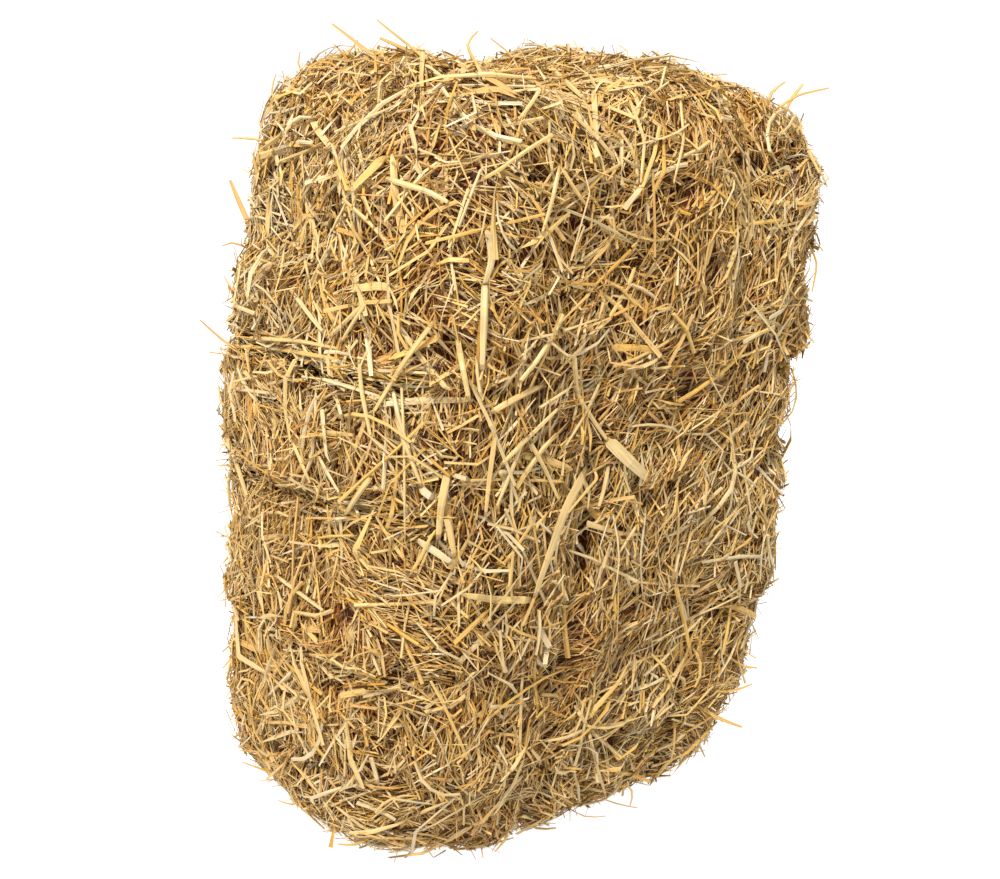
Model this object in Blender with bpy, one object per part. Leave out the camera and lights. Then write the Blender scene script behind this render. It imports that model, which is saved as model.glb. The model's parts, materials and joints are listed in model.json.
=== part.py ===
"""Small rectangular straw bale, tied by two twines round its length and standing on one end.

Seven pressed flakes lie one on another along Z. The wide faces that the twines cross are -Y and +Y,
and the narrow faces, where the flakes' folded edges show, are -X and +X. Units are metres.
"""
import math
import random

import bmesh
import bpy
from mathutils import Vector
from mathutils.bvhtree import BVHTree

LENGTH = 0.68
WIDTH = 0.46
DEPTH = 0.34
# Heights of the base, of the six joints between the flakes and of the upper end.
JOINT_HEIGHTS = (0.0, 0.100, 0.197, 0.335, 0.436, 0.520, 0.602, LENGTH)
FLAKE_COUNT = len(JOINT_HEIGHTS) - 1
FLAKE_GAP = 0.0003

# How far each flake stands out past the plain block, left, right, front and back,
# and how much the joint above it rises towards +X and towards +Y, as slopes.
FLAKE_SHAPES = (
    {"reach": (-0.007, -0.006, -0.015, -0.005), "rise": (0.02, -0.05)},
    {"reach": (0.000, 0.005, -0.005, 0.000), "rise": (0.00, -0.10)},
    {"reach": (0.003, 0.004, 0.003, 0.002), "rise": (0.02, -0.10)},
    {"reach": (0.012, -0.005, 0.000, 0.005), "rise": (0.00, -0.07)},
    {"reach": (0.007, 0.002, 0.003, 0.000), "rise": (0.02, -0.03)},
    {"reach": (-0.003, 0.005, 0.000, 0.004), "rise": (0.02, 0.00)},
    {"reach": (-0.008, 0.004, -0.005, 0.000), "rise": (0.03, 0.00)},
)
STEP_LENGTH = 0.016

# Rounding of the long edges on the left and on the right, and what is left of it at the ends.
CORNER_RADII = (0.105, 0.090)
END_CORNER_RADII = (0.095, 0.020)

# Rounding of the two ends, for the left, right, front and back side.
BOTTOM_RADII = (0.095, 0.070, 0.095, 0.070)
TOP_RADII = (0.078, 0.095, 0.080, 0.075)

# The pinch where two flakes meet: its depth on the four sides, and how strong it is at each joint.
CREASE_DEPTHS = (0.010, 0.009, 0.002, 0.004)
CREASE_STRENGTHS = (0.4, 0.9, 0.7, 1.3, 0.3, 0.3)
CREASE_HALF_HEIGHT = 0.009

# Distances from an end at which the rounded edge has a row of points.
END_LEVELS = (0.007, 0.026, 0.055)

LUMP_HEIGHT = 0.005
LUMPS_START = 0.05      # height over the base by which the lumps are full

# Swells and dips of the upper end: middle of each along X, its height and its half width.
CROWNS = ((-0.170, 0.006, 0.040), (-0.060, -0.010, 0.045), (0.040, 0.008, 0.045), (0.190, -0.010, 0.050))

TWINE_PLACES = {"twine_left": -0.062, "twine_right": 0.090}
TWINE_RADIUS = 0.0020
TAIL_RADIUS = 0.0016
TWINE_LIFT = 0.0034
GROOVE_DEPTH = 0.015
GROOVE_FLOOR_HALF = 0.006
GROOVE_HALF_WIDTH = 0.024
GROOVE_STARTS = 0.4     # share of the depth past which a groove pulls the wide face in
KNOT_HEIGHT = 0.40
KNOT_RADII = (0.0048, 0.0042, 0.0075)
KNOT_LIFT = 0.0052
TAIL_ROUTE = ((0.004, 0.004, -0.010), (0.007, 0.008, -0.030), (0.008, 0.009, -0.050))

# Within this distance of the middle the grid's columns stay straight.
INNER_HALF_WIDTH = 0.113

STALK_SIDES = 4
STALK_TIP_SHARE = 0.6
STALK_SHIFT = 0.02
LEVEL_BAND = 0.02       # near a joint, stalks lie level within the first of these spreads
LAY_SPREADS = (0.25, 1.2)
STALK_RADII = (0.0022, 0.0034)
STALK_LENGTHS = (0.045, 0.100)
STALK_ROOT_DEPTH = 0.007
STALK_LIFTS = (0.003, 0.011)
STALK_MARGIN = 0.0006
STALK_LOWEST = 0.005
STALKS_ON_MIDDLE_FLAKE = 27
STALKS_ON_END_FLAKE = 42

LEFT, RIGHT, FRONT, BACK = range(4)


def clear_scene():
    for old in list(bpy.data.objects):
        bpy.data.objects.remove(old, do_unlink=True)


def make_material(name, colour, roughness):
    material = bpy.data.materials.new(name)
    material.use_nodes = True
    shader = material.node_tree.nodes["Principled BSDF"]
    shader.inputs["Base Color"].default_value = (*colour, 1.0)
    shader.inputs["Roughness"].default_value = roughness
    shader.inputs["Metallic"].default_value = 0.0
    return material


def smooth_step(value):
    value = min(1.0, max(0.0, value))
    return value * value * (3.0 - 2.0 * value)


def flake_at(height):
    """Number of the flake at a height, counted from 0, and the share of its own height below."""
    index = 0
    while index < FLAKE_COUNT - 1 and height >= JOINT_HEIGHTS[index + 1]:
        index += 1
    low, high = JOINT_HEIGHTS[index], JOINT_HEIGHTS[index + 1]
    return index, min(1.0, max(0.0, (height - low) / (high - low)))


def flake_middle(index):
    return (JOINT_HEIGHTS[index] + JOINT_HEIGHTS[index + 1]) / 2


def flake_reach(side, height):
    """The flakes' own size on one side, easing from one flake to the next over a short step."""
    index, _ = flake_at(height)
    own = FLAKE_SHAPES[index]["reach"][side]
    to_joint_below = height - JOINT_HEIGHTS[index]
    to_joint_above = JOINT_HEIGHTS[index + 1] - height
    if to_joint_below < STEP_LENGTH and index > 0:
        other = FLAKE_SHAPES[index - 1]["reach"][side]
        share = 0.5 - 0.5 * smooth_step(to_joint_below / STEP_LENGTH)
        return own + (other - own) * share
    if to_joint_above < STEP_LENGTH and index < FLAKE_COUNT - 1:
        other = FLAKE_SHAPES[index + 1]["reach"][side]
        share = 0.5 - 0.5 * smooth_step(to_joint_above / STEP_LENGTH)
        return own + (other - own) * share
    return own


def floor_reach(side, height):
    """The same size under a taut twine, which runs straight from the middle of flake to flake."""
    index = 0
    while index < FLAKE_COUNT - 2 and height > flake_middle(index + 1):
        index += 1
    below, above = flake_middle(index), flake_middle(index + 1)
    share = min(1.0, max(0.0, (height - below) / (above - below)))
    low = FLAKE_SHAPES[index]["reach"][side]
    high = FLAKE_SHAPES[index + 1]["reach"][side]
    return low + (high - low) * share


def end_inset(side, height):
    """How far a side draws in where the bale rounds over at its ends."""
    inset = 0.0
    for radius, to_end in ((BOTTOM_RADII[side], height), (TOP_RADII[side], LENGTH - height)):
        if to_end < radius:
            across = radius - max(0.0, to_end)
            inset += radius - math.sqrt(radius * radius - across * across)
    return inset


def end_tilt(side, height):
    """Outward and upward parts of a side's normal, which turns where the bale rounds over."""
    upward = 0.0
    if height < BOTTOM_RADII[side]:
        upward = height / BOTTOM_RADII[side] - 1.0
    elif LENGTH - height < TOP_RADII[side]:
        upward = 1.0 - (LENGTH - height) / TOP_RADII[side]
    upward = min(1.0, max(-1.0, upward))
    return math.sqrt(1.0 - upward * upward), upward


def crease_depth(side, height):
    depth = 0.0
    for joint, strength in zip(JOINT_HEIGHTS[1:-1], CREASE_STRENGTHS):
        away = abs(height - joint) / CREASE_HALF_HEIGHT
        depth += CREASE_DEPTHS[side] * strength * (1.0 - smooth_step(away))
    return depth


def groove_share(x):
    """1 on the floor of a twine groove, 0 outside it."""
    share = 0.0
    for place in TWINE_PLACES.values():
        past_floor = (abs(x - place) - GROOVE_FLOOR_HALF) / (GROOVE_HALF_WIDTH - GROOVE_FLOOR_HALF)
        share = max(share, 1.0 - smooth_step(past_floor))
    return share


def lump(x, y, z):
    """Slow swells and hollows of the pressed straw, between -1 and 1."""
    first = math.sin(23.0 * x + 11.0 * z + 0.7) * math.cos(17.0 * y - 19.0 * z + 0.3)
    second = math.sin(31.0 * z - 13.0 * x + 2.1) * math.cos(29.0 * y + 9.0 * x + 1.4)
    return 0.6 * first + 0.4 * second


def section_reaches(height, groove):
    """Distance of the four sides from the bale's axis at a height."""
    halves = (WIDTH / 2, WIDTH / 2, DEPTH / 2, DEPTH / 2)
    reaches = []
    for side, half in enumerate(halves):
        open_side = flake_reach(side, height) - crease_depth(side, height)
        own = (1.0 - groove) * open_side + groove * floor_reach(side, height)
        reaches.append(half + own - end_inset(side, height))
    return reaches


def corner_radius(side, height):
    """Rounding of the section's corners, which get sharper as the section shrinks at an end."""
    return max(END_CORNER_RADII[side], CORNER_RADII[side] - end_inset(FRONT, height))


def round_corner(x, y, reaches, radius):
    """Moves a point of the square section onto the section with rounded corners."""
    inner_x = min(reaches[RIGHT] - radius, max(radius - reaches[LEFT], x))
    inner_y = min(reaches[BACK] - radius, max(radius - reaches[FRONT], y))
    across_x, across_y = x - inner_x, y - inner_y
    length = math.hypot(across_x, across_y)
    if length < 1e-9:
        return x, y
    scale = max(abs(across_x), abs(across_y)) / length
    return inner_x + across_x * scale, inner_y + across_y * scale


def column_place(x, reaches):
    """The grid's inner columns keep their place, so that the grooves run straight; the rest spread."""
    reach = reaches[RIGHT] if x > 0 else reaches[LEFT]
    if abs(x) <= INNER_HALF_WIDTH:
        return x
    share = (abs(x) - INNER_HALF_WIDTH) / (WIDTH / 2 - INNER_HALF_WIDTH)
    return math.copysign(INNER_HALF_WIDTH + share * (reach - INNER_HALF_WIDTH), x)


def row_place(y, reaches):
    reach = reaches[BACK] if y > 0 else reaches[FRONT]
    return y / (DEPTH / 2) * reach


def joint_height(joint, x, y):
    """Height of the flat joint over flake number joint, which leans a little; the base is level."""
    if joint == 0:
        return 0.0
    rise_x, rise_y = FLAKE_SHAPES[joint - 1]["rise"]
    return JOINT_HEIGHTS[joint] + rise_x * x + rise_y * y


def lean(height, x, y):
    """Height of a point once the joints below and above it lean."""
    index, share = flake_at(height)
    crown = smooth_step(share) * crown_height(x) if index == FLAKE_COUNT - 1 else 0.0
    return (1.0 - share) * joint_height(index, x, y) + share * joint_height(index + 1, x, y) + crown


def crown_height(x):
    """How high the straw swells over the plain upper end."""
    return sum(high * math.exp(-((x - middle) / half) ** 2) for middle, high, half in CROWNS)


def end_lump(x, y, reaches):
    """Unevenness of the upper end, fading out towards its rounded edge."""
    inside = 1.0 - max(abs(x) / reaches[LEFT], abs(y) / reaches[FRONT])
    return 0.5 * LUMP_HEIGHT * lump(x, y, LENGTH) * smooth_step(4.0 * inside)


def press(point, on_end):
    """The pressed form: moves a point of the plain block onto the bale's surface."""
    x, y, height = point
    groove_here = groove_share(x) if abs(x) <= INNER_HALF_WIDTH else 0.0
    reaches = section_reaches(height, groove_here)
    flat_x, flat_y = column_place(x, reaches), row_place(y, reaches)
    radius = corner_radius(LEFT if x < 0 else RIGHT, height)
    x, y = round_corner(flat_x, flat_y, reaches, radius)
    pull = GROOVE_DEPTH * groove_here
    if on_end:
        end = 1.0 if height > LENGTH / 2 else -1.0
        uneven = end_lump(x, y, reaches) * (1.0 - groove_here) if end > 0 else 0.0
        return Vector((x, y, lean(height, x, y) + uneven - end * pull))
    outward = Vector((x, y, 0.0)).normalized()
    swell = LUMP_HEIGHT * lump(x, y, height) * smooth_step(height / LUMPS_START) * (1.0 - groove_here)
    x += outward.x * swell
    y += outward.y * swell
    z = lean(height, x, y)
    if pull > 0.0 and abs(y) > GROOVE_STARTS * reaches[FRONT]:
        tilt_out, tilt_up = end_tilt(BACK if y > 0 else FRONT, height)
        y -= math.copysign(pull * tilt_out, y)
        z -= pull * tilt_up
    return Vector((x, y, z))


def grid_planes():
    columns = []
    for place in TWINE_PLACES.values():
        for offset in (-GROOVE_HALF_WIDTH, -GROOVE_FLOOR_HALF, GROOVE_FLOOR_HALF, GROOVE_HALF_WIDTH):
            columns.append(place + offset)
    for side in (-1, 1):
        for back in (CORNER_RADII[LEFT], CORNER_RADII[LEFT] / 2):
            columns.append(side * (WIDTH / 2 - back))
    columns.append(sum(TWINE_PLACES.values()) / 2)
    rows = [0.0]
    for side in (-1, 1):
        for back in (CORNER_RADII[LEFT], CORNER_RADII[LEFT] / 2):
            rows.append(side * (DEPTH / 2 - back))
    return columns, rows


def flake_levels(index):
    """Heights of the rows of points between a flake's lower and upper joint."""
    low, high = JOINT_HEIGHTS[index], JOINT_HEIGHTS[index + 1]
    if index == 0:
        return [*END_LEVELS, high - CREASE_HALF_HEIGHT]
    if index == FLAKE_COUNT - 1:
        return [low + CREASE_HALF_HEIGHT, *(high - level for level in reversed(END_LEVELS))]
    return [low + CREASE_HALF_HEIGHT, 0.65 * low + 0.35 * high, 0.35 * low + 0.65 * high,
            high - CREASE_HALF_HEIGHT]


def flake_mesh(index):
    """A block cut into a grid and pressed into shape, its hidden joint faces left whole."""
    low, high = JOINT_HEIGHTS[index], JOINT_HEIGHTS[index + 1]
    body = bmesh.new()
    bmesh.ops.create_cube(body, size=1.0)
    for vertex in body.verts:
        vertex.co.x *= WIDTH
        vertex.co.y *= DEPTH
        vertex.co.z = low if vertex.co.z < 0 else high
    columns, rows = grid_planes()
    cuts = [((x, 0, 0), (1, 0, 0)) for x in columns]
    cuts += [((0, y, 0), (0, 1, 0)) for y in rows]
    cuts += [((0, 0, z), (0, 0, 1)) for z in flake_levels(index)]
    for place, normal in cuts:
        everything = body.verts[:] + body.edges[:] + body.faces[:]
        bmesh.ops.bisect_plane(body, geom=everything, plane_co=place, plane_no=normal, dist=1e-6)
    for joint, end in ((low, index == 0), (high, index == FLAKE_COUNT - 1)):
        if not end:
            flat = [face for face in body.faces if all(abs(v.co.z - joint) < 1e-6 for v in face.verts)]
            bmesh.ops.dissolve_faces(body, faces=flat, use_verts=False)
    for vertex in body.verts:
        point = vertex.co.copy()
        on_end = (index == 0 and abs(point.z) < 1e-6)
        on_end = on_end or (index == FLAKE_COUNT - 1 and abs(point.z - LENGTH) < 1e-6)
        vertex.co = press(point, on_end)
        if abs(point.z - low) < 1e-6 and index > 0:
            vertex.co.z += FLAKE_GAP / 2
        if abs(point.z - high) < 1e-6 and index < FLAKE_COUNT - 1:
            vertex.co.z -= FLAKE_GAP / 2
    bmesh.ops.triangulate(body, faces=body.faces[:])
    bmesh.ops.recalc_face_normals(body, faces=body.faces[:])
    return body


def make_object(name, body, material, collection):
    mesh = bpy.data.meshes.new(name)
    body.to_mesh(mesh)
    body.free()
    mesh.materials.append(material)
    thing = bpy.data.objects.new(name, mesh)
    collection.objects.link(thing)
    return thing


def evaluated_mesh(thing):
    bpy.context.view_layer.update()
    seen = thing.evaluated_get(bpy.context.evaluated_depsgraph_get())
    return bpy.data.meshes.new_from_object(seen)


def tree_of(thing):
    body = bmesh.new()
    body.from_mesh(thing.data)
    tree = BVHTree.FromBMesh(body)
    body.free()
    return tree


def join_solids(target, tool):
    """Unites a tool solid with its target and removes the tool."""
    join = target.modifiers.new("join", "BOOLEAN")
    join.operation = "UNION"
    join.solver = "EXACT"
    join.use_self = True
    join.object = tool
    old = target.data
    target.data = evaluated_mesh(target)
    target.modifiers.clear()
    bpy.data.meshes.remove(old)
    bpy.data.objects.remove(tool, do_unlink=True)


def twine_route(place):
    """Points of one twine: up the front groove, over the top, down the back and under the bottom."""
    def on_wide_face(height, side):
        spot = press(Vector((place, side * DEPTH / 2, height)), False)
        tilt_out, tilt_up = end_tilt(BACK if side > 0 else FRONT, height)
        return spot + TWINE_LIFT * Vector((0.0, side * tilt_out, tilt_up))

    def on_end_face(y, height):
        end = 1.0 if height > LENGTH / 2 else -1.0
        return press(Vector((place, y, height)), True) + Vector((0.0, 0.0, end * TWINE_LIFT))

    heights = flake_levels(0) + [JOINT_HEIGHTS[1]]
    for index in range(1, FLAKE_COUNT - 1):
        heights += [flake_middle(index), JOINT_HEIGHTS[index + 1]]
    heights += flake_levels(FLAKE_COUNT - 1)
    ends = [share * DEPTH / 2 for share in (-1.0, -0.5, 0.0, 0.5, 1.0)]
    route = [on_wide_face(height, -1.0) for height in heights]
    route += [on_end_face(y, LENGTH) for y in ends]
    route += [on_wide_face(height, 1.0) for height in reversed(heights)]
    route += [on_end_face(y, 0.0) for y in reversed(ends)]
    return route


def tube(name, route, radius, closed, material, collection):
    curve = bpy.data.curves.new(name, "CURVE")
    curve.dimensions = "3D"
    curve.bevel_depth = radius
    curve.bevel_resolution = 2
    curve.use_fill_caps = not closed
    spline = curve.splines.new("POLY")
    spline.points.add(len(route) - 1)
    for point, place in zip(spline.points, route):
        point.co = (*place, 1.0)
    spline.use_cyclic_u = closed
    wire = bpy.data.objects.new(name + "_route", curve)
    collection.objects.link(wire)
    mesh = evaluated_mesh(wire)
    bpy.data.objects.remove(wire, do_unlink=True)
    body = bmesh.new()
    body.from_mesh(mesh)
    bmesh.ops.remove_doubles(body, verts=body.verts[:], dist=1e-5)
    bmesh.ops.recalc_face_normals(body, faces=body.faces[:])
    bpy.data.meshes.remove(mesh)
    return make_object(name, body, material, collection)


def knot_mesh(centre):
    body = bmesh.new()
    bmesh.ops.create_icosphere(body, subdivisions=1, radius=1.0)
    for vertex in body.verts:
        vertex.co = vertex.co * Vector(KNOT_RADII) + centre
    return body


def make_twine(name, place, material, collection, tools):
    """One closed loop of twine with its knot and two short tails on the back."""
    loop = tube(name, twine_route(place), TWINE_RADIUS, True, material, collection)
    floor = press(Vector((place, DEPTH / 2, KNOT_HEIGHT)), False)
    centre = Vector((place, floor.y + KNOT_LIFT, KNOT_HEIGHT))
    knot = make_object(name + "_knot", knot_mesh(centre), material, tools)
    join_solids(loop, knot)
    for side in (-1.0, 1.0):
        tail_route = [centre] + [centre + Vector((side * x, y, z)) for x, y, z in TAIL_ROUTE]
        tail = tube(name + "_tail", tail_route, TAIL_RADIUS, False, material, tools)
        join_solids(loop, tail)
    return loop


def stalk_mesh(root, tip, radius, twist):
    """One cut stalk, a slim tapered prism from its root in the flake to its tip."""
    body = bmesh.new()
    run = tip - root
    bmesh.ops.create_cone(body, cap_ends=True, segments=STALK_SIDES, radius1=radius,
                          radius2=STALK_TIP_SHARE * radius, depth=run.length)
    turn = run.to_track_quat("Z", "X").to_matrix()
    spin = math.cos(twist), math.sin(twist)
    for vertex in body.verts:
        x, y, z = vertex.co
        flat = Vector((x * spin[0] - y * spin[1], x * spin[1] + y * spin[0], z))
        vertex.co = turn @ flat + (root + tip) / 2
    return body


def lay_direction(point, normal, chance):
    """Straw lies flat on the face: level along the creases, every way between them."""
    level = Vector((0, 0, 1)).cross(normal)
    if level.length < 0.3:
        angle = chance.uniform(0.0, 2.0 * math.pi)
        return Vector((math.cos(angle), math.sin(angle), 0.0))
    level.normalize()
    upward = normal.cross(level)
    from_joint = min(abs(point.z - joint) for joint in JOINT_HEIGHTS)
    angle = chance.gauss(0.0, LAY_SPREADS[0] if from_joint < LEVEL_BAND else LAY_SPREADS[1])
    if chance.random() < 0.5:
        angle += math.pi
    return level * math.cos(angle) + upward * math.sin(angle)


def random_stalks(flake, has_open_top, count, chance):
    """Roots, tips and radii of stalks that lie on one flake's open faces, their tips just off them."""
    surface = tree_of(flake)
    body = bmesh.new()
    body.from_mesh(flake.data)
    faces = []
    for face in body.faces:
        if abs(face.normal.z) < 0.9 or (has_open_top and face.normal.z > 0):
            faces.append((face.calc_area(), face.calc_center_median(), face.normal.copy()))
    body.free()
    areas = [area for area, _, _ in faces]
    stalks = []
    for _, centre, normal in chance.choices(faces, weights=areas, k=5 * count):
        along = lay_direction(centre, normal, chance)
        shift = along * chance.uniform(-STALK_SHIFT, STALK_SHIFT)
        root = centre + shift - normal * STALK_ROOT_DEPTH
        far = centre + shift + along * chance.uniform(*STALK_LENGTHS)
        foot, foot_normal, _, _ = surface.find_nearest(far)
        tip = foot + foot_normal * chance.uniform(*STALK_LIFTS)
        lies_open = abs(foot_normal.z) < 0.9 or has_open_top
        if lies_open and (tip - root).length > STALK_LENGTHS[0]:
            stalks.append((root, tip, chance.uniform(*STALK_RADII)))
    return stalks


def is_clear(root, tip, radius, others):
    """True where a stalk touches nothing of another flake or of a twine and stays off the floor."""
    if min(root.z, tip.z) < STALK_LOWEST:
        return False
    body = stalk_mesh(root, tip, radius + STALK_MARGIN, 0.0)
    tree = BVHTree.FromBMesh(body)
    body.free()
    return not any(tree.overlap(other) for other in others)


def grow_stalks(flakes, twines, material, tools):
    """Adds stalks flake by flake, each clear of the neighbours and of their stalks."""
    chance = random.Random(11)
    trees = {thing.name: tree_of(thing) for thing in flakes + twines}
    for index, flake in enumerate(flakes):
        others = [tree for name, tree in trees.items() if name != flake.name]
        at_end = index in (0, FLAKE_COUNT - 1)
        count = STALKS_ON_END_FLAKE if at_end else STALKS_ON_MIDDLE_FLAKE
        placed = 0
        bundle = bmesh.new()
        has_open_top = index == FLAKE_COUNT - 1
        for root, tip, radius in random_stalks(flake, has_open_top, count, chance):
            if placed < count and is_clear(root, tip, radius, others):
                single = stalk_mesh(root, tip, radius, chance.uniform(0.0, math.pi / 2))
                mesh = bpy.data.meshes.new("stalk")
                single.to_mesh(mesh)
                single.free()
                bundle.from_mesh(mesh)
                bpy.data.meshes.remove(mesh)
                placed += 1
        tool = make_object(flake.name + "_stalks", bundle, material, tools)
        join_solids(flake, tool)
        trees[flake.name] = tree_of(flake)


def centre_on_base(things):
    """Moves the whole bale so that the middle of its box's underside is the origin."""
    points = [vertex.co for thing in things for vertex in thing.data.vertices]
    middle_x = (min(p.x for p in points) + max(p.x for p in points)) / 2
    middle_y = (min(p.y for p in points) + max(p.y for p in points)) / 2
    lowest = min(p.z for p in points)
    for thing in things:
        for vertex in thing.data.vertices:
            vertex.co -= Vector((middle_x, middle_y, lowest))


clear_scene()
bale = bpy.data.collections.new("straw_bale")
tools = bpy.data.collections.new("cutters")
for collection in (bale, tools):
    bpy.context.scene.collection.children.link(collection)
straw = make_material("straw", (0.43, 0.26, 0.10), 0.75)
sisal = make_material("sisal_twine", (0.33, 0.20, 0.09), 0.85)

flakes = [make_object(f"flake_{index + 1}", flake_mesh(index), straw, bale)
          for index in range(FLAKE_COUNT)]
twines = [make_twine(name, place, sisal, bale, tools) for name, place in TWINE_PLACES.items()]
grow_stalks(flakes, twines, straw, tools)
centre_on_base(flakes + twines)
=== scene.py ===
"""Looks of a small square straw bale that stands on one end. Metres, +Z up, wide string face at -Y."""
import json
import math

import bmesh
import bpy
import numpy as np
from mathutils import Matrix, Vector, noise
from mathutils.bvhtree import BVHTree

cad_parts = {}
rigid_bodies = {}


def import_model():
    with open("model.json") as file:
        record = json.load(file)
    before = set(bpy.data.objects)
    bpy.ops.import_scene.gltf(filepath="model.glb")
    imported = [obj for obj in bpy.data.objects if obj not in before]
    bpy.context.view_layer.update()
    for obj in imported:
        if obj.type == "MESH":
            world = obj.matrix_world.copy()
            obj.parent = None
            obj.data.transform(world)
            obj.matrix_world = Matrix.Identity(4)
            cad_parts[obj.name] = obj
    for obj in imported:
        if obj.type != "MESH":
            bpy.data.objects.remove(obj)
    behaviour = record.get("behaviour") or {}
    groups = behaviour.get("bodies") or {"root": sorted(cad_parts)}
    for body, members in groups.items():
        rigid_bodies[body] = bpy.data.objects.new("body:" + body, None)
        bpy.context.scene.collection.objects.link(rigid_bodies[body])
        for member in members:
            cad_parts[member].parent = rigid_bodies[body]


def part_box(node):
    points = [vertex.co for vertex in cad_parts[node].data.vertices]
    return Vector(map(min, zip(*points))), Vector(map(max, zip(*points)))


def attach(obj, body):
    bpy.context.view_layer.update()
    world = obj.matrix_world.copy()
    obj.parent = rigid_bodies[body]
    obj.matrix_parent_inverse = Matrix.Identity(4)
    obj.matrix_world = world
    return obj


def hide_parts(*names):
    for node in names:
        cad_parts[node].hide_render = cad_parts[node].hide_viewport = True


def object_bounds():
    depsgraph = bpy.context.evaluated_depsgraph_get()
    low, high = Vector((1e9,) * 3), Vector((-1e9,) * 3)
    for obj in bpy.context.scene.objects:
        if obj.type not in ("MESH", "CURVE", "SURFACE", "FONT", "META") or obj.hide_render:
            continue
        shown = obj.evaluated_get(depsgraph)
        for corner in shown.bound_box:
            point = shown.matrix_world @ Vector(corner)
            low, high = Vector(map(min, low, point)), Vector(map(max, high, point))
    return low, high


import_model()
cad_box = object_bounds()

# Camera, where the photograph was taken from: close, a little above the middle of the bale and
# to the left of its wide face, so that the near corner is large and upright edges lean together.
BALE_LENGTH = 0.68
LEFT_TWINE_X = -0.062
LEFT_TWINE_LOWEST_X = -0.0716
LEFT_TWINE_LOWEST_Y = -0.1634
twine_low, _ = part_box("twine_left")
bale_axis = Vector((twine_low.x - LEFT_TWINE_LOWEST_X, twine_low.y - LEFT_TWINE_LOWEST_Y, 0.0))

CAMERA_AZIMUTH = math.radians(-40.0)
CAMERA_ELEVATION = math.radians(16.0)
CAMERA_ROLL = math.radians(5.89)
CAMERA_DISTANCE = 1.10
CAMERA_SIDE_STEP = -0.0108
CAMERA_RISE = 0.0056
PHOTO_WIDTH, PHOTO_HEIGHT = 1000, 879
FOCAL_LENGTH_IN_PIXELS = 1182.4

back = Vector((math.sin(CAMERA_AZIMUTH) * math.cos(CAMERA_ELEVATION),
               -math.cos(CAMERA_AZIMUTH) * math.cos(CAMERA_ELEVATION),
               math.sin(CAMERA_ELEVATION)))
level = Vector((math.cos(CAMERA_AZIMUTH), math.sin(CAMERA_AZIMUTH), 0.0))
upright = back.cross(level)
view_right = level * math.cos(CAMERA_ROLL) + upright * math.sin(CAMERA_ROLL)
view_up = upright * math.cos(CAMERA_ROLL) - level * math.sin(CAMERA_ROLL)
eye = bale_axis + Vector((0.0, 0.0, BALE_LENGTH / 2)) + back * CAMERA_DISTANCE
eye += view_right * CAMERA_SIDE_STEP + view_up * CAMERA_RISE


def make_object(name, data):
    thing = bpy.data.objects.new(name, data)
    bpy.context.scene.collection.objects.link(thing)
    return thing


camera_data = bpy.data.cameras.new("camera")
camera_data.sensor_width = 36.0
camera_data.lens = FOCAL_LENGTH_IN_PIXELS * camera_data.sensor_width / PHOTO_WIDTH
camera = make_object("camera", camera_data)
camera.matrix_world = Matrix.Translation(eye) @ Matrix((view_right, view_up, back)).transposed().to_4x4()
bpy.context.scene.camera = camera


# Floor and light: a white sweep with no visible edge, a broad soft lamp high on the camera's left
# and an even pale surround, as a product picture on white has.
FLOOR_SIZE = 60.0
FLOOR_GLOW = 0.66
KEY_PLACE = Vector((-1.98, -0.98, 2.85))
KEY_TARGET = Vector((0.0, 0.0, 0.36))
KEY_SIZE = 0.7
KEY_POWER = 150.0
SURROUND_STRENGTH = 0.81

floor_mesh = bpy.data.meshes.new("floor")
floor_body = bmesh.new()
bmesh.ops.create_grid(floor_body, x_segments=1, y_segments=1, size=FLOOR_SIZE / 2)
floor_body.to_mesh(floor_mesh)
floor_body.free()
floor = make_object("floor", floor_mesh)
floor_finish = bpy.data.materials.new("backlit_white_sweep")
floor_finish.use_nodes = True
floor_shader = floor_finish.node_tree.nodes["Principled BSDF"]
floor_shader.inputs["Base Color"].default_value = (0.35, 0.35, 0.35, 1.0)
floor_shader.inputs["Roughness"].default_value = 0.9
floor_shader.inputs["Specular IOR Level"].default_value = 0.0
floor_shader.inputs["Emission Color"].default_value = (1.0, 1.0, 1.0, 1.0)
floor_shader.inputs["Emission Strength"].default_value = FLOOR_GLOW
floor_mesh.materials.append(floor_finish)

key_data = bpy.data.lights.new("key", "AREA")
key_data.shape = "DISK"
key_data.size = KEY_SIZE
key_data.energy = KEY_POWER
key_data.color = (1.0, 0.97, 0.93)
key = make_object("key", key_data)
key.location = bale_axis + KEY_PLACE
key.rotation_euler = (KEY_TARGET - KEY_PLACE).to_track_quat("-Z", "Y").to_euler()

world = bpy.data.worlds.new("pale_surround")
world.use_nodes = True
world.node_tree.nodes["Background"].inputs["Color"].default_value = (1.0, 1.0, 1.0, 1.0)
world.node_tree.nodes["Background"].inputs["Strength"].default_value = SURROUND_STRENGTH
bpy.context.scene.world = world
bpy.context.scene.view_settings.view_transform = "Standard"
bpy.context.scene.view_settings.exposure = 0.5


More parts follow.
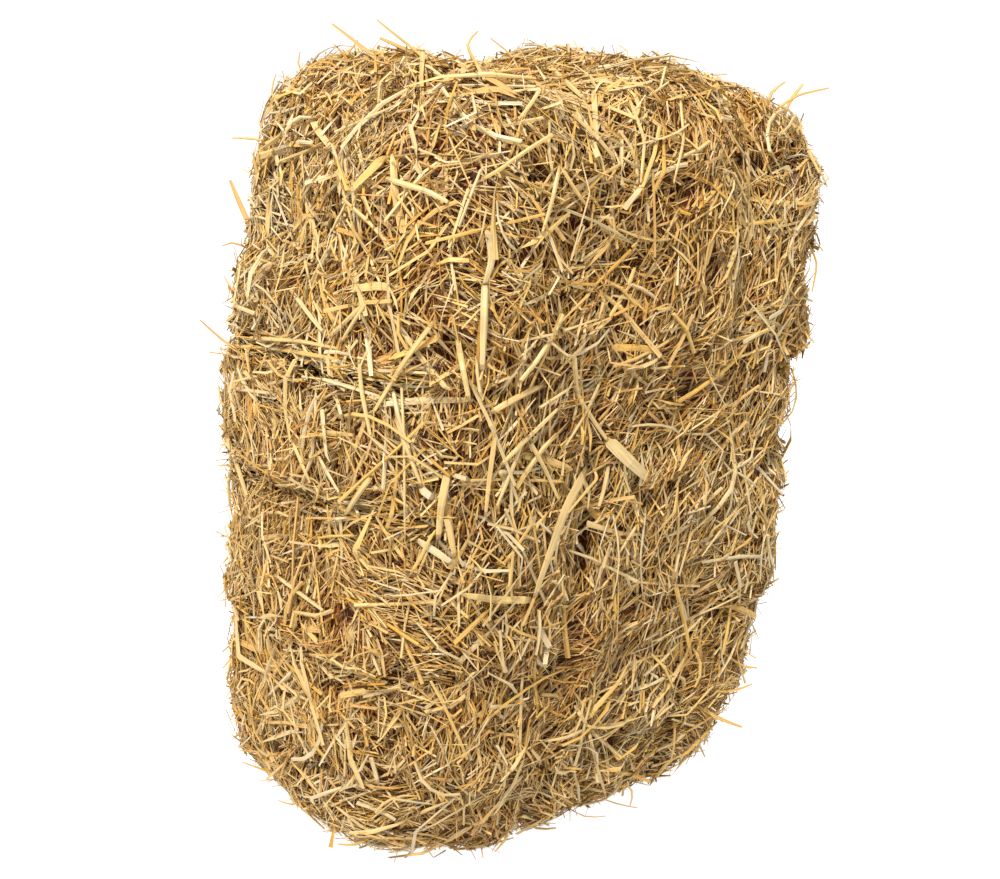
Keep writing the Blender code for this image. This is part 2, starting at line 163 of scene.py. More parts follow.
# The flakes' pressed form. Straw is packed in the baler's chamber in seven wads, which bulge between
# the joints, round off at both ends and are drawn in under the two twines.
BALE_WIDTH = 0.46
BALE_DEPTH = 0.34
JOINT_HEIGHTS = (0.0, 0.100, 0.197, 0.335, 0.436, 0.520, 0.602, BALE_LENGTH)
FLAKE_COUNT = len(JOINT_HEIGHTS) - 1
FLAKE_SHAPES = (
    {"reach": (-0.007, -0.006, -0.015, -0.005), "rise": (0.02, -0.05)},
    {"reach": (0.000, 0.005, -0.005, 0.000), "rise": (0.00, -0.10)},
    {"reach": (0.003, 0.004, 0.003, 0.002), "rise": (0.02, -0.10)},
    {"reach": (0.012, -0.005, 0.000, 0.005), "rise": (0.00, -0.07)},
    {"reach": (0.007, 0.002, 0.003, 0.000), "rise": (0.02, -0.03)},
    {"reach": (-0.003, 0.005, 0.000, 0.004), "rise": (0.02, 0.00)},
    {"reach": (-0.008, 0.004, -0.005, 0.000), "rise": (0.03, 0.00)},
)
STEP_LENGTH = 0.016
CORNER_RADII = (0.105, 0.090)
END_CORNER_RADII = (0.095, 0.020)
BOTTOM_RADII = (0.095, 0.070, 0.095, 0.070)
TOP_RADII = (0.078, 0.095, 0.080, 0.075)
CREASE_DEPTHS = (0.010, 0.009, 0.002, 0.004)
CREASE_STRENGTHS = (0.4, 0.9, 0.7, 1.3, 0.3, 0.3)
CREASE_HALF_HEIGHT = 0.009
LUMP_HEIGHT = 0.005
LUMPS_START = 0.05
CROWNS = ((-0.170, 0.006, 0.040), (-0.060, -0.010, 0.045), (0.040, 0.008, 0.045), (0.190, -0.010, 0.050))
TWINE_PLACES = {"twine_left": LEFT_TWINE_X, "twine_right": 0.090}
GROOVE_DEPTH = 0.015
GROOVE_FLOOR_HALF = 0.006
GROOVE_HALF_WIDTH = 0.024
GROOVE_STARTS = 0.4
INNER_HALF_WIDTH = 0.113
LEFT, RIGHT, FRONT, BACK = range(4)


def smooth_step(value):
    value = min(1.0, max(0.0, value))
    return value * value * (3.0 - 2.0 * value)


def flake_at(height):
    """Number of the flake at a height, counted from 0, and the share of its own height below."""
    index = 0
    while index < FLAKE_COUNT - 1 and height >= JOINT_HEIGHTS[index + 1]:
        index += 1
    low, high = JOINT_HEIGHTS[index], JOINT_HEIGHTS[index + 1]
    return index, min(1.0, max(0.0, (height - low) / (high - low)))


def flake_middle(index):
    return (JOINT_HEIGHTS[index] + JOINT_HEIGHTS[index + 1]) / 2


def flake_reach(side, height):
    """How far the flakes stand out on one side, easing from one flake to the next."""
    index, _ = flake_at(height)
    own = FLAKE_SHAPES[index]["reach"][side]
    to_joint_below = height - JOINT_HEIGHTS[index]
    to_joint_above = JOINT_HEIGHTS[index + 1] - height
    if to_joint_below < STEP_LENGTH and index > 0:
        other = FLAKE_SHAPES[index - 1]["reach"][side]
        return own + (other - own) * (0.5 - 0.5 * smooth_step(to_joint_below / STEP_LENGTH))
    if to_joint_above < STEP_LENGTH and index < FLAKE_COUNT - 1:
        other = FLAKE_SHAPES[index + 1]["reach"][side]
        return own + (other - own) * (0.5 - 0.5 * smooth_step(to_joint_above / STEP_LENGTH))
    return own


def floor_reach(side, height):
    """The same under a taut twine, which runs straight from the middle of flake to flake."""
    index = 0
    while index < FLAKE_COUNT - 2 and height > flake_middle(index + 1):
        index += 1
    below, above = flake_middle(index), flake_middle(index + 1)
    share = min(1.0, max(0.0, (height - below) / (above - below)))
    low = FLAKE_SHAPES[index]["reach"][side]
    high = FLAKE_SHAPES[index + 1]["reach"][side]
    return low + (high - low) * share


def end_inset(side, height):
    """How far a side draws in where the bale rounds over at its ends."""
    inset = 0.0
    for radius, to_end in ((BOTTOM_RADII[side], height), (TOP_RADII[side], BALE_LENGTH - height)):
        if to_end < radius:
            across = radius - max(0.0, to_end)
            inset += radius - math.sqrt(radius * radius - across * across)
    return inset


def end_tilt(side, height):
    """Outward and upward parts of a side's normal, which turns where the bale rounds over."""
    upward = 0.0
    if height < BOTTOM_RADII[side]:
        upward = height / BOTTOM_RADII[side] - 1.0
    elif BALE_LENGTH - height < TOP_RADII[side]:
        upward = 1.0 - (BALE_LENGTH - height) / TOP_RADII[side]
    upward = min(1.0, max(-1.0, upward))
    return math.sqrt(1.0 - upward * upward), upward


def crease_share(height):
    """How strongly the joints between the flakes pinch the straw at a height."""
    share = 0.0
    for joint, strength in zip(JOINT_HEIGHTS[1:-1], CREASE_STRENGTHS):
        share += strength * (1.0 - smooth_step(abs(height - joint) / CREASE_HALF_HEIGHT))
    return share


def groove_share(x):
    """1 on the floor of a twine groove, 0 outside it."""
    share = 0.0
    for place in TWINE_PLACES.values():
        past_floor = (abs(x - place) - GROOVE_FLOOR_HALF) / (GROOVE_HALF_WIDTH - GROOVE_FLOOR_HALF)
        share = max(share, 1.0 - smooth_step(past_floor))
    return share


def lump(x, y, z):
    """Slow swells and hollows of the pressed straw, between -1 and 1."""
    first = math.sin(23.0 * x + 11.0 * z + 0.7) * math.cos(17.0 * y - 19.0 * z + 0.3)
    second = math.sin(31.0 * z - 13.0 * x + 2.1) * math.cos(29.0 * y + 9.0 * x + 1.4)
    return 0.6 * first + 0.4 * second


def section_reaches(height, groove):
    """Distance of the four sides from the bale's axis at a height."""
    halves = (BALE_WIDTH / 2, BALE_WIDTH / 2, BALE_DEPTH / 2, BALE_DEPTH / 2)
    reaches = []
    for side, half in enumerate(halves):
        open_side = flake_reach(side, height) - CREASE_DEPTHS[side] * crease_share(height)
        own = (1.0 - groove) * open_side + groove * floor_reach(side, height)
        reaches.append(half + own - end_inset(side, height))
    return reaches


def round_corner(x, y, reaches, radius):
    """Moves a point of the square section onto the section with rounded corners."""
    inner_x = min(reaches[RIGHT] - radius, max(radius - reaches[LEFT], x))
    inner_y = min(reaches[BACK] - radius, max(radius - reaches[FRONT], y))
    across_x, across_y = x - inner_x, y - inner_y
    length = math.hypot(across_x, across_y)
    if length < 1e-9:
        return x, y
    scale = max(abs(across_x), abs(across_y)) / length
    return inner_x + across_x * scale, inner_y + across_y * scale


def joint_height(joint, x, y):
    if joint == 0:
        return 0.0
    rise_x, rise_y = FLAKE_SHAPES[joint - 1]["rise"]
    return JOINT_HEIGHTS[joint] + rise_x * x + rise_y * y


def swells(rows, x):
    """Height of a row of smooth swells at x, each given by its middle, height and half width."""
    return sum(high * math.exp(-((x - middle) / half) ** 2) for middle, high, half in rows)


def lean(height, x, y):
    """Height of a point once the joints below and above it lean."""
    index, share = flake_at(height)
    crown = smooth_step(share) * swells(CROWNS, x) if index == FLAKE_COUNT - 1 else 0.0
    return (1.0 - share) * joint_height(index, x, y) + share * joint_height(index + 1, x, y) + crown


def end_lump(x, y, reaches):
    """Unevenness of the upper end, fading out towards its rounded edge."""
    inside = 1.0 - max(abs(x) / reaches[LEFT], abs(y) / reaches[FRONT])
    return 0.5 * LUMP_HEIGHT * lump(x, y, BALE_LENGTH) * smooth_step(4.0 * inside)


def press(point, on_end, groove_depth=GROOVE_DEPTH):
    """Moves a point of the plain block onto the bale's surface."""
    x, y, height = point
    groove = groove_share(x) if abs(x) <= INNER_HALF_WIDTH else 0.0
    reaches = section_reaches(height, groove)
    if abs(x) > INNER_HALF_WIDTH:
        reach = reaches[RIGHT] if x > 0 else reaches[LEFT]
        share = (abs(x) - INNER_HALF_WIDTH) / (BALE_WIDTH / 2 - INNER_HALF_WIDTH)
        x = math.copysign(INNER_HALF_WIDTH + share * (reach - INNER_HALF_WIDTH), x)
    y *= (reaches[BACK] if y > 0 else reaches[FRONT]) / (BALE_DEPTH / 2)
    side = LEFT if x < 0 else RIGHT
    radius = max(END_CORNER_RADII[side], CORNER_RADII[side] - end_inset(FRONT, height))
    x, y = round_corner(x, y, reaches, radius)
    pull = groove_depth * groove
    if on_end:
        end = 1.0 if height > BALE_LENGTH / 2 else -1.0
        uneven = end_lump(x, y, reaches) * (1.0 - groove) if end > 0 else 0.0
        return Vector((x, y, lean(height, x, y) + uneven - end * pull))
    outward = Vector((x, y, 0.0)).normalized()
    swell = LUMP_HEIGHT * lump(x, y, height) * smooth_step(height / LUMPS_START) * (1.0 - groove)
    x, y = x + outward.x * swell, y + outward.y * swell
    z = lean(height, x, y)
    if pull > 0.0 and abs(y) > GROOVE_STARTS * reaches[FRONT]:
        tilt_out, tilt_up = end_tilt(BACK if y > 0 else FRONT, height)
        y -= math.copysign(pull * tilt_out, y)
        z -= pull * tilt_up
    return Vector((x, y, z))


# Each flake as a closed lump of pressed straw: its open faces carry the loose straw, and the same
# faces drawn in a little make a closed mass in the darkest tones with painted shade, which shows as
# shadow through the gaps. Straw lies in tufts, each combed its own way and a little higher or lower
# than the next.
GRID_STEP = 0.009
TUFT_SIZE = 0.034
TUFT_RIM = 0.28
TUFT_HEIGHT = 0.0035
POCKET_DEPTH = 0.012
POCKET_START, POCKET_SPAN = 0.27, 0.26
COARSE_HEIGHT, COARSE_RISE = 0.36, 0.22
COARSE_PLACE, COARSE_FADE = 0.08, 0.16
FRONT_GROOVE_DEPTH = 0.007
OTHER_GROOVE_DEPTH = 0.011
MASS_INSET = 0.011
MASS_FLOOR_GAP = 0.0015
# Depth value given to the mass so that the straw finish paints it in full shade.
MASS_SHADE_DEPTH = -0.014
MASS_MAP_ROOM = 1.2
LEVEL_BAND = 0.026
COAT_ROOM, COAT_ROOM_HEIGHT, COAT_ROOM_RISE = 0.003, 0.45, 0.15
CREASE_FILL = 0.002
FOOT_FULLNESS, FOOT_HEIGHT, FOOT_LIP = 0.008, 0.12, 0.03
RIGHT_FULLNESS, RIGHT_START, RIGHT_TOP, RIGHT_FADE = 0.005, 0.10, 0.52, 0.12
FOOT_DIPS = ((-0.150, 0.012, 0.045), (0.180, 0.014, 0.045))
TOP_DIPS = ((-0.215, 0.008, 0.030), (-0.165, 0.004, 0.020), (-0.090, 0.013, 0.025), (0.000, 0.004, 0.030),
            (0.060, -0.005, 0.040), (0.215, 0.008, 0.035))
LEFT_ANGLE, RIGHT_ANGLE, FRONT_ANGLE = 106.0, 75.0, 60.0
BACK_ANGLE, TOP_ANGLE, BOTTOM_ANGLE = 118.0, 150.0, 30.0
LAY_ANGLES = {(-1, 0, 0): LEFT_ANGLE, (1, 0, 0): RIGHT_ANGLE, (0, -1, 0): FRONT_ANGLE,
              (0, 1, 0): BACK_ANGLE, (0, 0, 1): TOP_ANGLE, (0, 0, -1): BOTTOM_ANGLE}
TUFT_TURN = 1.5
SWIRL_TURN = 1.1
LOOSE_FOOT_HEIGHT, LOOSE_FOOT_FADE = 0.14, 0.08
CORNER_PLACE, CORNER_FADE = -0.070, 0.060
WARP_REACH, WARP_SCALE = 0.30, 26.0
WARP_SHIFTS = (Vector((1.3, 5.1, 2.7)), Vector((6.4, 0.9, 8.2)), Vector((3.8, 7.5, 4.6)))


def tuft_at(spot):
    """Two numbers of the tuft's own between -1 and 1, and 0 at its rim to 1 well inside it."""
    warp = Vector([WARP_REACH * noise.noise(spot * WARP_SCALE + shift) for shift in WARP_SHIFTS])
    distances, centres = noise.voronoi(spot / TUFT_SIZE + warp)
    first = math.sin(57.0 * centres[0].dot(Vector((1.0, 1.7, 2.3))))
    second = math.sin(91.0 * centres[0].dot(Vector((2.1, 0.6, 1.3))))
    return first, second, smooth_step((distances[1] - distances[0]) / TUFT_RIM)


def pocket_share(spot):
    """1 in the middle of a pocket where the straw has pulled out, 0 away from pockets."""
    return smooth_step((noise.noise(spot * 31.0 + Vector((9.2, 4.4, 6.8))) - POCKET_START) / POCKET_SPAN)


def relief(spot):
    """Tufts and pockets of the straw, in metres out of the pressed face."""
    broad = noise.noise(spot * 19.0)
    fine = noise.noise(spot * 47.0 + Vector((3.1, 7.7, 1.9)))
    _, raised, inside = tuft_at(spot)
    own = 0.7 * raised * inside - 0.6 * (1.0 - inside)
    return TUFT_HEIGHT * (0.6 * broad + 0.4 * fine + own) - POCKET_DEPTH * pocket_share(spot)


def coarse_share(spot):
    """1 on the upper left, where the straw is coarse and tangled, to 0 where it is fine and combed."""
    tangled = 0.5 + 1.4 * noise.noise(spot * 12.0 + Vector((4.0, 1.0, 7.0)))
    upper_left = smooth_step((spot.z - COARSE_HEIGHT) / COARSE_RISE)
    upper_left *= smooth_step((COARSE_PLACE - spot.x) / COARSE_FADE)
    return max(upper_left, 0.6 * smooth_step(tangled))


def fullness(spot, way):
    """How much prouder the loose straw stands than the pressed form, in metres."""
    level = math.hypot(way.x, way.y)
    foot = FOOT_FULLNESS - swells(FOOT_DIPS, spot.x)
    foot *= (1.0 - smooth_step((spot.z - FOOT_LIP) / (FOOT_HEIGHT - FOOT_LIP))) * level
    right = RIGHT_FULLNESS * max(0.0, way.x) * smooth_step(spot.z / RIGHT_START)
    right *= smooth_step((RIGHT_TOP - spot.z) / RIGHT_FADE)
    top = swells(TOP_DIPS, spot.x) * max(0.0, way.z)
    room = COAT_ROOM * smooth_step((spot.z - COAT_ROOM_HEIGHT) / COAT_ROOM_RISE)
    return foot + right + CREASE_FILL * level_share(spot, way) - room - top


def flake_lump(index):
    """One flake on a fine grid, with the outward direction of each vertex."""
    low, high = JOINT_HEIGHTS[index], JOINT_HEIGHTS[index + 1]
    body = bmesh.new()
    bmesh.ops.create_cube(body, size=1.0)
    for vertex in body.verts:
        vertex.co = Vector((vertex.co.x * BALE_WIDTH, vertex.co.y * BALE_DEPTH,
                            low if vertex.co.z < 0 else high))
    for axis, start, length in ((0, -BALE_WIDTH / 2, BALE_WIDTH), (1, -BALE_DEPTH / 2, BALE_DEPTH),
                                (2, low, high - low)):
        count = round(length / GRID_STEP)
        for step in range(1, count):
            place, normal = Vector(), Vector()
            place[axis] = start + length * step / count
            normal[axis] = 1.0
            everything = body.verts[:] + body.edges[:] + body.faces[:]
            bmesh.ops.bisect_plane(body, geom=everything, plane_co=place, plane_no=normal, dist=1e-6)
    for joint, is_end in ((low, index == 0), (high, index == FLAKE_COUNT - 1)):
        if not is_end:
            flat = [face for face in body.faces if all(abs(v.co.z - joint) < 1e-6 for v in face.verts)]
            bmesh.ops.dissolve_faces(body, faces=flat, use_verts=False)
    for vertex in body.verts:
        height = vertex.co.z
        on_end = (index == 0 and height < 1e-6) or (index == FLAKE_COUNT - 1 and height > high - 1e-6)
        on_front = vertex.co.y < 0 and not on_end
        vertex.co = press(vertex.co, on_end, FRONT_GROOVE_DEPTH if on_front else OTHER_GROOVE_DEPTH)
    body.normal_update()
    outward = {}
    for vertex in body.verts:
        open_faces = [face.normal * face.calc_area() for face in vertex.link_faces if len(face.verts) <= 4]
        way = sum(open_faces, Vector())
        if any(len(face.verts) > 4 for face in vertex.link_faces):
            way.z = 0.0
        outward[vertex.index] = way.normalized()
    return body, outward


def level_share(spot, normal):
    """How far the straw follows a joint: fully on a narrow face close to it, hardly on a wide face."""
    share = 0.0
    for joint, strength in zip(range(1, FLAKE_COUNT), CREASE_STRENGTHS):
        away = abs(spot.z - joint_height(joint, spot.x, spot.y)) / LEVEL_BAND
        share = max(share, min(1.0, strength) * (1.0 - smooth_step(away)))
    return share * (0.15 + 0.85 * smooth_step((abs(normal.x) - 0.5) / 0.3))


def lay_of(spot, normal):
    """Which way straw lies at a spot and how loosely: level along joints, combed in tufts elsewhere."""
    along = Vector((0.0, 0.0, 1.0)).cross(normal)
    if along.length < 0.35:
        along = Vector((1.0, 0.0, 0.0)) - normal * normal.x
    along.normalize()
    across = normal.cross(along)
    weights = {side: max(0.0, normal.dot(Vector(side))) ** 2 for side in LAY_ANGLES}
    base = sum(weights[side] * LAY_ANGLES[side] for side in LAY_ANGLES) / sum(weights.values())
    to_corner = smooth_step((CORNER_PLACE - spot.x) / CORNER_FADE) * max(0.0, -normal.y)
    base += to_corner * (LEFT_ANGLE - FRONT_ANGLE)
    own, _, _ = tuft_at(spot)
    swirl = SWIRL_TURN * noise.noise(spot * 11.0 + Vector((5.0, 2.0, 8.0)))
    swirl += 0.5 * TUFT_TURN * own * (1.0 + smooth_step((LOOSE_FOOT_HEIGHT - spot.z) / LOOSE_FOOT_FADE))
    flatter = min(1.0, 1.6 * level_share(spot, normal))
    turn = (math.radians(base) + swirl) * (1.0 - flatter) + 0.35 * swirl * flatter
    if flatter > 0.5 and turn > math.pi / 2:
        turn -= math.pi
    return along * math.cos(turn) + across * math.sin(turn), 1.0 - 0.7 * flatter


def flake_skin(index):
    """The flake's open faces with the lay, paleness and fullness of the straw there, and its mass."""
    body, outward = flake_lump(index)
    strip = body.loops.layers.uv.new("strip")
    tint = body.verts.layers.float.new("tint")
    height = body.verts.layers.float.new("height")
    lay, loose, shade, full, coarse, spots = {}, {}, {}, {}, {}, {}
    for vertex in body.verts:
        way, number = outward[vertex.index], vertex.index
        lay[number], loose[number] = lay_of(vertex.co, way)
        own, _, inside = tuft_at(vertex.co)
        shade[number] = 0.05 * own + 0.14 * noise.noise(vertex.co * 8.0 + Vector((2.0, 9.0, 4.0)))
        full[number] = max(0.45 + 0.55 * inside, level_share(vertex.co, way))
        full[number] *= (0.5 if way.z < -0.8 else 1.0)
        full[number] *= 1.0 - 0.4 * pocket_share(vertex.co)
        coarse[number] = coarse_share(vertex.co)
        shade[number] += 0.05 * coarse[number]
        loose[number] *= 1.0 + 0.7 * coarse[number]
        spots[number] = vertex.co + way * (relief(vertex.co) + fullness(vertex.co, way))
        # Painted shade: the mass takes the darkest tones and the full depth darkening, so it reads as the
        # shadow between straws.
        vertex[tint] = 0.12 + 0.25 * noise.noise(vertex.co * 90.0)
        vertex[height] = MASS_SHADE_DEPTH
    shut = [face for face in body.faces if len(face.verts) > 4]
    for face in body.faces:
        if len(face.verts) > 4:
            for loop in face.loops:
                across, along = loop.vert.co.x / BALE_WIDTH, loop.vert.co.y / BALE_DEPTH
                loop[strip].uv = (0.5 + across / MASS_MAP_ROOM, 0.5 + along / MASS_MAP_ROOM)
        else:
            for loop, place in zip(face.loops, ((0.0, 0.0), (1.0, 0.0), (1.0, 1.0), (0.0, 1.0))):
                loop[strip].uv = place
    for vertex in body.verts:
        vertex.co = spots[vertex.index]
        vertex.co.z = max(0.0, vertex.co.z)
    mass = body.copy()
    bmesh.ops.delete(body, geom=shut, context="FACES_ONLY")
    mesh = bpy.data.meshes.new("skin")
    for vertex in body.verts:
        vertex.co += bale_axis
    order = [vertex.index for vertex in body.verts]
    body.to_mesh(mesh)
    body.free()
    mesh.attributes.new("lay", "FLOAT_VECTOR", "POINT").data.foreach_set(
        "vector", np.ravel([lay[number] for number in order]))
    for name, values in (("loose", loose), ("shade", shade), ("full", full), ("coarse", coarse)):
        mesh.attributes.new(name, "FLOAT", "POINT").data.foreach_set("value", [values[n] for n in order])
    cell = mass.faces.layers.int.new("mass_cell")
    for number, face in enumerate(mass.faces):
        face[cell] = number + 1
    for vertex in mass.verts:
        vertex.co += bale_axis - outward[vertex.index] * MASS_INSET
        vertex.co.z = max(MASS_FLOOR_GAP, vertex.co.z)
    bmesh.ops.triangulate(mass, faces=mass.faces[:])
    return mesh, mass


skins, masses = zip(*(flake_skin(index) for index in range(FLAKE_COUNT)))


# Single straws: cut pieces of hollow stem and torn leaf, each a slim prism one unit long and one
# unit wide, which the laying step scales to its real length and width.
def straw_ring(width, turn, sides, flatness):
    """Sideways and upward places of one ring's corners, in widths."""
    angle = math.radians(turn)
    ring = []
    for step in range(sides):
        around = 2.0 * math.pi * step / sides
        wide, thick = 0.5 * width * math.cos(around), 0.5 * flatness * width * math.sin(around)
        ring.append((wide * math.cos(angle) - thick * math.sin(angle),
                     wide * math.sin(angle) + thick * math.cos(angle)))
    return ring


def close_straw(body, strip, hoops, places):
    """Skins a row of rings and caps its ends; the map runs along the straw and around it."""
    sides = len(hoops[0])
    for (near, far), (first, second) in zip(zip(hoops, hoops[1:]), zip(places, places[1:])):
        first, second = 0.08 + 0.84 * first, 0.08 + 0.84 * second
        for step in range(sides):
            after = (step + 1) % sides
            face = body.faces.new((near[step], far[step], far[after], near[after]))
            corners = ((first, step), (second, step), (second, step + 1), (first, step + 1))
            for loop, (along, around) in zip(face.loops, corners):
                loop[strip].uv = (along, around / sides)
    for hoop, middle in ((hoops[0], 0.03), (list(reversed(hoops[-1])), 0.97)):
        face = body.faces.new(hoop)
        for step, loop in enumerate(face.loops):
            around = 2.0 * math.pi * step / sides
            loop[strip].uv = (middle + 0.025 * math.cos(around), 0.5 + 0.4 * math.sin(around))


def finish_form(name, body):
    bmesh.ops.recalc_face_normals(body, faces=body.faces[:])
    mesh = bpy.data.meshes.new(name)
    body.to_mesh(mesh)
    body.free()
    return mesh


def straw_form(name, rings, sides=3, flatness=0.5):
    """A swept straw. Each ring: place along, sideways, upward (in widths), width, turn in degrees."""
    body = bmesh.new()
    strip = body.loops.layers.uv.new("strip")
    hoops = []
    for along, sideways, upward, width, turn in rings:
        hoops.append([body.verts.new((along - 0.5, sideways + y, upward + z))
                      for y, z in straw_ring(width, turn, sides, flatness)])
    close_straw(body, strip, hoops, [ring[0] for ring in rings])
    bmesh.ops.triangulate(body, faces=body.faces[:])
    return finish_form(name, body)


SPLIT_FACES = (
    ((0, (0.0, 0.00)), (1, (0.0, 0.25)), (2, (1.0, 0.25))),
    ((1, (0.0, 0.25)), (2, (1.0, 0.25)), (3, (1.0, 0.50))),
    ((3, (1.0, 0.50)), (0, (0.0, 0.50)), (1, (0.0, 0.25))),
    ((3, (1.0, 0.50)), (0, (0.0, 0.50)), (2, (1.0, 0.75))),
)


def split_form(name, near_width, far_width, bow):
    """A split sliver: flat across at one end and upright at the other, so of four faces only."""
    body = bmesh.new()
    strip = body.loops.layers.uv.new("strip")
    corners = [body.verts.new(place) for place in (
        (-0.5, -near_width / 2, bow), (-0.5, near_width / 2, -bow),
        (0.5, bow, -far_width / 2), (0.5, -bow, far_width / 2))]
    for picked in SPLIT_FACES:
        face = body.faces.new([corners[number] for number, _ in picked])
        for loop, (_, place) in zip(face.loops, picked):
            loop[strip].uv = place
    return finish_form(name, body)


def straw_kinds(name, forms):
    """A collection of straw shapes that one layer of the coat draws from."""
    kinds = bpy.data.collections.new(name)
    for number, form in enumerate(forms):
        kinds.objects.link(bpy.data.objects.new(f"{name}_{number}", form))
    return kinds


chaff = straw_kinds("chaff", [
    straw_form("cut_flat", [(0, 0, 0, 1.2, 10), (1, 0, 0, 1.0, -30)], flatness=0.35),
    split_form("sliver_even", 1.0, 0.9, 0.0),
    split_form("sliver_bowed", 1.1, 0.6, 0.2),
    split_form("sliver_pointed", 1.2, 0.25, 0.1),
])
stems = straw_kinds("stems", [
    straw_form("stem_bowed", [(0, 0, 0, 0.9, 0), (0.5, 1.1, 0.3, 1.0, 0), (1, 0, 0, 0.8, 0)]),
    straw_form("stem_straight", [(0, 0, 0, 1.0, 0), (0.45, 0.1, 0.1, 1.0, 10), (1, 0, 0, 0.9, 25)]),
    straw_form("stem_kinked", [(0, 0, 0, 1.0, 0), (0.62, 2.4, 0.4, 0.9, 20), (1, 0, 0, 0.9, 30)]),
    straw_form("ribbon_bowed", [(0, 0, 0, 1.2, 0), (0.5, -0.9, 0.2, 1.4, 30), (1, 0, 0, 0.6, 70)],
               flatness=0.25),
    straw_form("ribbon_twisted", [(0, 0, 0, 0.7, 0), (0.4, 0.5, 0.2, 1.3, 60), (1, 0, 0, 1.0, 150)],
               flatness=0.25),
])
stalks = straw_kinds("stalks", [
    straw_form("stalk_plain", [(0, 0, 0, 1.0, 0), (0.3, 0.4, 0.2, 1.0, 10), (0.7, 0.5, 0.2, 0.95, 20),
                               (1, 0, 0, 0.9, 30)], sides=5, flatness=0.8),
    straw_form("stalk_noded", [(0, 0, 0, 0.9, 0), (0.54, 0.8, 0.2, 0.9, 0), (0.58, 0.9, 0.2, 1.25, 0),
                               (0.62, 0.8, 0.2, 0.95, 0), (1, 0, 0, 0.95, 0)], sides=5, flatness=0.85),
    straw_form("stalk_split", [(0, 0, 0, 1.3, 0), (0.35, 0.8, 0.3, 1.2, 20), (0.7, 0.9, 0.5, 0.8, 50),
                               (1, 0, 0.2, 0.25, 80)], sides=4, flatness=0.25),
    straw_form("stalk_arched", [(0, 0, 0, 0.9, 0), (0.25, 1.9, 0.6, 1.0, 10), (0.5, 2.5, 0.9, 1.0, 15),
                                (0.75, 1.9, 0.6, 1.0, 20), (1, 0, 0, 0.8, 30)], sides=4, flatness=0.6),
    straw_form("stalk_broken", [(0, 0, 0, 1.0, 0), (0.48, 5.0, 0.5, 0.95, 0), (0.52, 5.1, 0.7, 0.8, 0),
                                (1, 0, 0, 0.9, 0)], sides=4, flatness=0.6),
])
leaves = straw_kinds("leaves", [
    straw_form("leaf_flat", [(0, 0, 0, 0.75, 0), (0.1, 0.1, 0.05, 1.0, 8), (0.5, 0.3, 0.1, 1.0, 20),
                             (0.85, 0.1, 0.1, 0.9, 35), (1, 0, 0, 0.3, 45)], sides=4, flatness=0.14),
    straw_form("leaf_twisted", [(0, 0, 0, 0.6, -20), (0.35, 0.5, 0.2, 1.0, 15), (0.5, 0.6, 0.3, 0.9, 60),
                                (0.65, 0.5, 0.3, 0.95, 130), (1, 0, 0, 0.6, 165)], sides=4, flatness=0.14),
    straw_form("leaf_folded", [(0, 0, 0, 0.8, 0), (0.45, 0.4, 0.2, 1.0, 5), (0.5, 0.45, 0.4, 0.8, 30),
                               (0.55, 0.4, 0.3, 1.0, 55), (1, 0, 0, 0.5, 60)], sides=4, flatness=0.14),
])


# The coat: straws laid on every open face in layers, from short crushed pieces combed into tufts up
# to long stems and broad leaves. Straw that would stand off is bent back to the face.
def add_node(tree, kind, values=None, **settings):
    """A node with its settings, each named input linked to a socket or set to a value."""
    made = tree.nodes.new(kind)
    for name, value in settings.items():
        setattr(made, name, value)
    for name, value in (values or {}).items():
        socket = next(s for s in made.inputs if s.name == name and s.enabled)
        if isinstance(value, bpy.types.NodeSocket):
            tree.links.new(value, socket)
        else:
            socket.default_value = value
    return made


def out(made, name=None):
    return next(s for s in made.outputs if s.enabled and (name is None or s.name == name))


def math_node(tree, operation, first, second=0.0):
    made = tree.nodes.new("ShaderNodeMath")
    made.operation = operation
    for socket, value in zip(made.inputs, (first, second)):
        if isinstance(value, bpy.types.NodeSocket):
            tree.links.new(value, socket)
        else:
            socket.default_value = value
    return made.outputs[0]


def random_number(tree, low, high, seed, number):
    """A random number for each point; the number given here keeps the draws apart."""
    own_seed = math_node(tree, "ADD", seed, number)
    made = add_node(tree, "FunctionNodeRandomValue", {"Min": low, "Max": high, "Seed": own_seed},
                    data_type="FLOAT")
    return out(made, "Value")


def read_attribute(tree, name, kind="FLOAT"):
    return out(add_node(tree, "GeometryNodeInputNamedAttribute", {"Name": name}, data_type=kind))


def store_on_straws(tree, straws, name, value, kind="FLOAT"):
    return out(add_node(tree, "GeometryNodeStoreNamedAttribute",
                        {"Geometry": straws, "Name": name, "Value": value}, data_type=kind,
                        domain="INSTANCE"))


COAT_MEASURES = ("Per square metre", "Shortest", "Longest", "Thinnest", "Thickest", "Deepest", "Highest",
                 "Turn", "Tilt", "Roll", "Free height", "Bent height", "Darkest", "Palest",
                 "With coarseness")
COAT_INPUTS = (("Straws", "Collection"), ("Count of kinds", "Int"),
               *((name, "Float") for name in COAT_MEASURES),
               ("Seed", "Int"), ("First number", "Int"), ("Finish", "Material"))
FLOOR_BAND = 0.004


